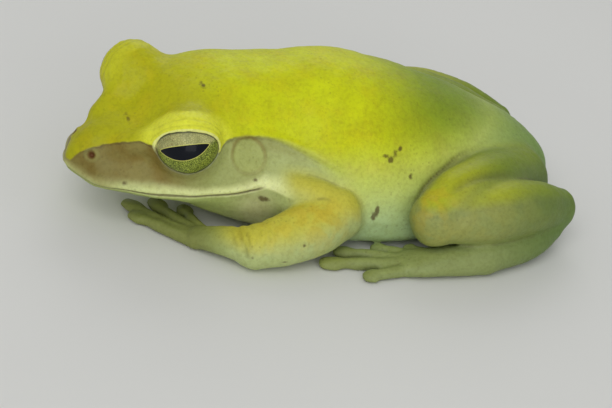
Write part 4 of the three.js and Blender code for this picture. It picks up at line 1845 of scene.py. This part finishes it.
@dataclass
class Skin:
    """The frog's one skin, from snout to toes."""

    body: Body
    lattice: Lattice = field(default_factory=Lattice)
    quick_scale: float = 1.9  # how much rougher the quick skin is
    hollow_rounds: int = 16  # how far round a point its hollows are looked for
    deepest: float = 0.12  # the hollow that counts as a full crease
    # Folds round the lids, and the painted shade drawn along them, by the distance from the lids' edge.
    lid_folds: tuple[Swell, ...] = (Swell(-0.06, 0.8, 0.14), Swell(-0.06, 1.75, 0.16))
    lid_fold_shade: tuple[Swell, ...] = (Swell(0.16, 0.8, 0.12), Swell(0.16, 1.75, 0.14))
    # The unevenness of living skin: height, distance between swells, and what it is drawn from.
    uneven: tuple[tuple[float, float, int], ...] = ((0.05, 7.0, 3), (0.018, 2.2, 4), (0.008, 0.9, 6))
    # Dark spots: place, and half their length along X and up.
    spots: tuple[tuple[float, float, float, float, float], ...] = (
        (-14.8, -12.25, 6.4, 0.7, 0.3), (-0.7, -14.4, 5.2, 0.3, 0.6), (-0.3, -14.3, 6.0, 0.28, 0.6),
        (0.4, -11.7, 12.5, 0.3, 0.2), (1.1, -11.9, 12.1, 0.4, 0.35), (1.7, -11.5, 12.7, 0.22, 0.3),
        (2.4, -11.1, 13.2, 0.28, 0.22), (3.9, -12.8, 10.1, 0.25, 0.3), (-22.5, -4.3, 18.0, 0.2, 0.12),
        (-31.3, -4.3, 13.2, 0.09, 0.06), (-3.5, 12.4, 11.0, 0.4, 0.3), (5.0, 12.8, 7.5, 0.3, 0.45),
        (-13.6, -20.0, 2.3, 0.35, 0.12), (-11.3, -19.9, 4.5, 0.12, 0.1), (-10.7, -19.9, 4.6, 0.1, 0.12),
        (-16.0, -11.4, 8.6, 0.18, 0.12), (-32.0, -9.8, 7.1, 0.25, 0.12), (-17.6, -20.0, 2.8, 0.1, 0.1),
    )
    folds: tuple[Fold, ...] = (
        Fold(((6.2, -18.3, 10.6), (8.3, -17.6, 11.6), (9.6, -17.0, 12.0), (11.5, -16.1, 12.1),
              (15.4, -14.6, 11.6), (19.2, -12.8, 10.5)), 0.42, 0.6, 0.3, RIGHT_LEG_TUCK),
        Fold(((4.2, -14.9, 5.6), (5.0, -13.6, 7.4), (6.3, -12.7, 9.1), (9.1, -11.1, 10.65),
              (11.9, -9.2, 11.6), (15.8, -7.8, 11.5)), 0.1, 0.3, 0.5, RIGHT_LEG_TUCK),
        Fold(((-18.4, -15.4, 4.4), (-18.8, -18.2, 4.2), (-18.4, -19.4, 3.3), (-17.6, -20.0, 2.2)),
             0.1, 0.28, 0.3),
        Fold(((-17.9, -16.7, 5.0), (-18.1, -18.8, 4.5), (-17.7, -19.9, 3.5)), 0.1, 0.25, 0.25),
        Fold(((-19.2, -15.0, 4.1), (-19.5, -17.3, 3.9), (-19.2, -18.6, 3.2)), 0.08, 0.25, 0.2),
        Fold(((-9.3, -15.4, 8.3), (-8.2, -15.5, 8.5), (-7.2, -15.8, 8.4)), 0.06, 0.2, 0.35),
    )

    def build(self) -> bpy.types.Object:
        """Makes the skin's mesh with its relief and its coordinates.

        Returns:
            The skin.
        """
        head = self.body.head
        points, faces = self.lattice.skin(self.body, 1.0)
        points, faces = largest_piece(points, faces)
        points = relaxed(points, faces, 2)
        normal = normals_of(points, faces)
        marks = Markings(self.body, points)
        flesh = marks.weights[Region.HEAD] + marks.weights[Region.TRUNK]
        height = head.relief(head.placed.to_head(points), marks) * ramp(0.3, 0.8, flesh)
        height += self.lid_relief(points, marks) + self.limb_relief(points, marks)
        height += sum(tall * waves(points, wide, seed) for tall, wide, seed in self.uneven)
        points = points + normal * height[:, None]
        points[:, 2] = np.maximum(points[:, 2], 0.0)
        # How hollow the skin is at each point; the material paints shade into the hollows by it.
        sunk = relaxed(points, faces, self.hollow_rounds) - points
        hollow = (sunk * normals_of(points, faces)).sum(1)
        crease = np.clip(hollow / self.deepest, -1.0, 1.0) * (1 - 0.85 * marks.weights[Region.HEAD])
        return make_object("skin", points, faces, self.values(points, marks) | {"crease": crease})

    def lid_relief(self, p: Array, marks: Markings) -> Array:
        """Soft folds round the lids, and the rolled edge of the lids.

        Args:
            p: The skin's points.
            marks: Their coordinates.

        Returns:
            Heights in millimetres.
        """
        radius, lid = marks.radius, self.body.head.eye.lid
        near = ramp(lid + 1.4, lid + 0.5, radius)
        rolled = 0.04 * bell(marks.lid_edge, 0.2, 0.16) * ramp(lid - 0.1, lid + 0.05, radius)
        folds = relief_of(self.lid_folds, marks.lid_edge) * marks.lid_up * ramp(lid + 0.3, lid, radius)
        return rolled + folds + 0.02 * waves(p, 1.1, 5) * near

    def limb_relief(self, p: Array, marks: Markings) -> Array:
        """Fine wrinkles at the wrist, and the folds of the limbs.

        Args:
            p: The skin's points.
            marks: Their coordinates.

        Returns:
            Heights in millimetres.
        """
        wrist = ramp(-13.5, -16.0, p[:, 0]) * ramp(-21.0, -18.5, p[:, 0]) * ramp(1.0, 3.0, p[:, 2])
        wrist = wrist * (marks.weights[Region.FOREARM] + marks.weights[Region.HAND])
        wrinkle = 0.07 * np.sin(p[:, 0] * 5.2 + 1.4 * waves(p, 4.0, 7)) * wrist
        return wrinkle - sum(fold.depth * fold.nearness(p) for fold in self.folds)

    def spot_edge(self, p: Array) -> Array:
        """How far points are from the nearest dark spot.

        Args:
            p: The skin's points.

        Returns:
            Distances to its edge, negative inside.
        """
        nearest = np.full(len(p), 3.0)
        for x, y, z, wide, tall in self.spots:
            away = (p - np.array([x, y, z])) / np.array([wide, 0.8, tall])
            nearest = np.minimum(nearest, (np.linalg.norm(away, axis=1) - 1) * min(wide, tall))
        return nearest

    def values(self, p: Array, marks: Markings) -> dict[str, Array]:
        """The coordinates that the skin's material reads.

        Args:
            p: The skin's points.
            marks: Their coordinates.

        Returns:
            Numbers for each point, by name.
        """
        weights = marks.weights
        # Painted shade drawn along the folds and along the wrinkles round the lids.
        shade = sum(fold.shade * fold.nearness(p) for fold in self.folds)
        shade += relief_of(self.lid_fold_shade, marks.lid_edge) * marks.lid_up
        fingers = ramp(-18.5, -24.0, p[:, 0])
        arm = ramp(-14.0, -11.0, p[:, 0]) * weights[Region.UPPER_ARM] + weights[Region.FOREARM]
        return {
            "dorsal": marks.dorsal, "edge": np.clip(marks.edge, -3, 3), "headness": marks.headness,
            "face": marks.face, "low": marks.low, "lore": np.clip(marks.lore, 0, 1),
            "lip": np.clip(marks.lip, -3, 3), "mouth": marks.mouth, "drum": marks.drum,
            "nostril": np.minimum(marks.nostril, marks.zones.far), "lid_edge": marks.lid_edge,
            "dome": marks.dome, "outline": marks.outline, "lid_up": marks.lid_up,
            "arm": arm + weights[Region.HAND] * (1 - fingers),
            "leg": weights[Region.THIGH] + weights[Region.SHANK] + weights[Region.FOOT] * 0.3,
            "digit": weights[Region.HAND] * fingers + weights[Region.FOOT] * 0.7,
            "limb_height": marks.limb_height(self.body, p), "spot": self.spot_edge(p), "fold": shade,
            "rear": marks.rear, "glow": marks.glow, "back": marks.back, "armpit": marks.armpit,
        }

    def dress(self, skin: bpy.types.Object, finish: SkinFinish, effects: Effects) -> None:
        """Gives the skin its material and puts it in place of the flesh solids.

        Args:
            skin: The skin's object.
            finish: Its finish.
            effects: The shared node groups.
        """
        skin.data.materials.append(finish.material(effects))
        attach(skin, "root")
        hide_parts(*[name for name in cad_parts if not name.endswith("_eye")])


@dataclass
class Eyeball:
    """One eye: a ball whose iris and pupil face the opening between the lids."""

    head: Head
    side: Side
    rings: int = 110
    spokes: int = 144
    crowding: float = 1.3  # how much closer together the rings are at the pupil
    pupil_forward: float = 5.6  # degrees forward of the opening's axis
    pupil_height: float = 8.3  # of the line between the pupil's corners
    pupil_tilt: float = 9.9  # of that line, its rear end up
    pupil_half: float = 49.8
    pupil_above: float = 11.7
    pupil_below: float = 15.0

    def build(self) -> bpy.types.Object:
        """Makes the ball with the coordinates of its iris and pupil.

        Returns:
            The eyeball.
        """
        ahead, gaze, up = self.head.gaze_axes(self.side)
        polar = math.pi * (np.arange(1, self.rings) / self.rings) ** self.crowding
        turn = 2 * math.pi * np.arange(self.spokes) / self.spokes
        ring, spoke = np.meshgrid(polar, turn, indexing="ij")
        unit = (np.cos(ring)[..., None] * gaze + (np.sin(ring) * np.cos(spoke))[..., None] * ahead
                + (np.sin(ring) * np.sin(spoke))[..., None] * up).reshape(-1, 3)
        unit = np.vstack([unit, gaze, -gaze])
        points = self.head.eye_centre(self.side) + unit * self.head.eye.ball
        name = f"{self.side.name.lower()}_eyeball"
        return make_object(name, points, self.faces(len(polar)), self.values(points))

    def faces(self, rows: int) -> Array:
        """Triangles over the ball's rings and its two poles.

        Args:
            rows: How many rings there are between the poles.

        Returns:
            Faces of three points each, looking outwards.
        """
        made = []
        for i in range(self.spokes):
            j = (i + 1) % self.spokes
            a = np.arange(rows - 1) * self.spokes
            made += [np.column_stack([a + i, a + j, a + j + self.spokes])]
            made += [np.column_stack([a + i, a + j + self.spokes, a + i + self.spokes])]
            last = (rows - 1) * self.spokes
            made += [np.array([[rows * self.spokes, j, i], [rows * self.spokes + 1, last + i, last + j]])]
        faces = np.vstack(made)
        return faces[:, ::-1] if self.side is Side.LEFT else faces

    def values(self, points: Array) -> dict[str, Array]:
        """The coordinates that the eye's material reads.

        Args:
            points: The ball's points.

        Returns:
            Numbers for each point, by name.
        """
        forward, above, radius = self.head.look_angles(points, self.side)
        edge, _ = self.head.lid_edge(points, self.side)
        tilt = math.radians(self.pupil_tilt)
        wide = self.pupil_half * self.head.eye.reach(self.side) / self.head.eye.half_wide
        a = (forward * math.cos(tilt) - above * math.sin(tilt) - self.pupil_forward) / wide
        b = above * math.cos(tilt) + forward * math.sin(tilt) - self.pupil_height
        line = np.clip(1 - a * a, 0, 1)
        outside = np.where(b > 0, b - self.pupil_above * line**0.8, -b - self.pupil_below * line**1.2)
        pupil = np.maximum(outside, (np.abs(a) - 1) * wide)
        return {
            "above": b, "pupil": np.radians(np.clip(pupil, -40, 40)) * radius,
            "rim": np.clip(-edge, 0, 3), "ahead": ramp(-5.0, 35.0, forward),
        }

    def dress(self, ball: bpy.types.Object, material: bpy.types.Material) -> None:
        """Gives the eyeball its material and puts it in place of its solid.

        Args:
            ball: The eyeball's object.
            material: The material of both eyes.
        """
        ball.data.materials.append(material)
        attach(ball, "root")
        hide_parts(f"{self.side.name.lower()}_eye")


@dataclass(frozen=True)
class Lamp:
    """A square lamp that faces the frog."""

    name: str
    place: Place  # metres
    size: float  # its side, in metres
    power: float  # watts

    def build(self, aim: Place) -> None:
        """Makes the lamp.

        Args:
            aim: What it faces, in millimetres.
        """
        lamp = bpy.data.lights.new(self.name, "AREA")
        lamp.size, lamp.energy = self.size, self.power
        made = bpy.data.objects.new(self.name, lamp)
        made.location = self.place
        ahead = Vector(aim) * MM - Vector(self.place)
        made.rotation_euler = ahead.to_track_quat("-Z", "Y").to_euler()
        bpy.context.scene.collection.objects.link(made)


@dataclass
class Studio:
    """A pale floor, soft lights and the camera."""

    azimuth: float = -21.6
    elevation: float = 30.0
    roll: float = 11.3
    distance: float = 228.0
    aim: Place = (-5.0, 0.0, 8.0)
    aside: float = -1.0
    lift: float = -8.4
    view: float = 20.0  # degrees across the picture
    floor_size: float = 3.0  # metres
    world: Colour = (0.86, 0.87, 0.88)
    light_from_world: float = 0.5
    look_of_world: float = 0.95
    lamps: tuple[Lamp, ...] = (
        Lamp("key", (-0.30, -0.42, 0.62), 0.5, 1.7), Lamp("fill", (-0.05, -0.75, 0.20), 0.5, 1.3),
        Lamp("back", (0.2, 0.6, 0.45), 0.5, 1.0), Lamp("glint", (-0.42, -0.60, 0.50), 0.07, 0.12))

    def build(self) -> None:
        """Makes the floor, the world, the lamps and the camera."""
        self.make_floor()
        self.make_world()
        for lamp in self.lamps:
            lamp.build(self.aim)
        self.make_camera()
        bpy.context.scene.view_settings.view_transform = "Standard"

    def make_floor(self) -> None:
        """Makes the floor."""
        bpy.ops.mesh.primitive_plane_add(size=self.floor_size)
        floor = bpy.context.object
        floor.name = "floor"
        floor.data.materials.append(FloorFinish().material())

    def make_world(self) -> None:
        """Makes an even, pale surround: dimmer as a light than it looks."""
        world = bpy.data.worlds.new("surround")
        world.use_nodes = True
        sheet = Sheet(world.node_tree)
        sheet.tree.nodes.clear()
        seen = sheet.node("ShaderNodeLightPath", {}).outputs["Is Camera Ray"]
        soft = sheet.node("ShaderNodeBackground", {
            "Color": self.world, "Strength": self.light_from_world})
        plain = sheet.node("ShaderNodeBackground", {
            "Color": self.world, "Strength": self.look_of_world})
        mixed = sheet.node("ShaderNodeMixShader", {0: seen, 1: soft.outputs[0], 2: plain.outputs[0]})
        output = sheet.tree.nodes.new("ShaderNodeOutputWorld")
        sheet.tree.links.new(mixed.outputs[0], output.inputs["Surface"])
        bpy.context.scene.world = world

    def make_camera(self) -> None:
        """Makes the camera, rolled a little, looking down at the frog's left side."""
        azimuth, elevation = math.radians(self.azimuth), math.radians(self.elevation)
        flat = math.cos(elevation)
        back = Vector((math.sin(azimuth) * flat, -math.cos(azimuth) * flat, math.sin(elevation)))
        level = Vector((math.cos(azimuth), math.sin(azimuth), 0.0))
        upright = back.cross(level)
        roll = math.radians(self.roll)
        right = level * math.cos(roll) + upright * math.sin(roll)
        up = upright * math.cos(roll) - level * math.sin(roll)
        target = Vector(self.aim) + right * self.aside + up * self.lift
        data = bpy.data.cameras.new("camera")
        data.sensor_fit = "HORIZONTAL"
        data.angle = math.radians(self.view)
        data.clip_start = 0.01
        camera = bpy.data.objects.new("camera", data)
        turn = Matrix((right, up, back)).transposed().to_4x4()
        camera.matrix_world = Matrix.Translation((target + back * self.distance) * MM) @ turn
        bpy.context.scene.collection.objects.link(camera)
        bpy.context.scene.camera = camera


def main() -> None:
    """Builds the studio, the skin and the eyes."""
    logging.basicConfig(level=logging.INFO, format="%(message)s")
    Studio().build()
    LOG.info("studio: floor, four lamps, camera")
    head = Head()
    limbs = [make_arm(side) for side in Side] + [make_leg(side) for side in Side]
    forms = [*Trunk().forms(), *head.forms(), *[form for limb in limbs for form in limb.forms()]]
    effects = Effects()
    skin = Skin(Body(head, forms))
    made = skin.build()
    skin.dress(made, SkinFinish(), effects)
    LOG.info("skin: %d points, %d faces", len(made.data.vertices), len(made.data.polygons))
    iris = EyeFinish().material(effects)
    for side in Side:
        eyeball = Eyeball(head, side)
        ball = eyeball.build()
        eyeball.dress(ball, iris)
        LOG.info("%s: %d faces", ball.name, len(ball.data.polygons))
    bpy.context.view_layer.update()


if __name__ == "__main__":
    main()
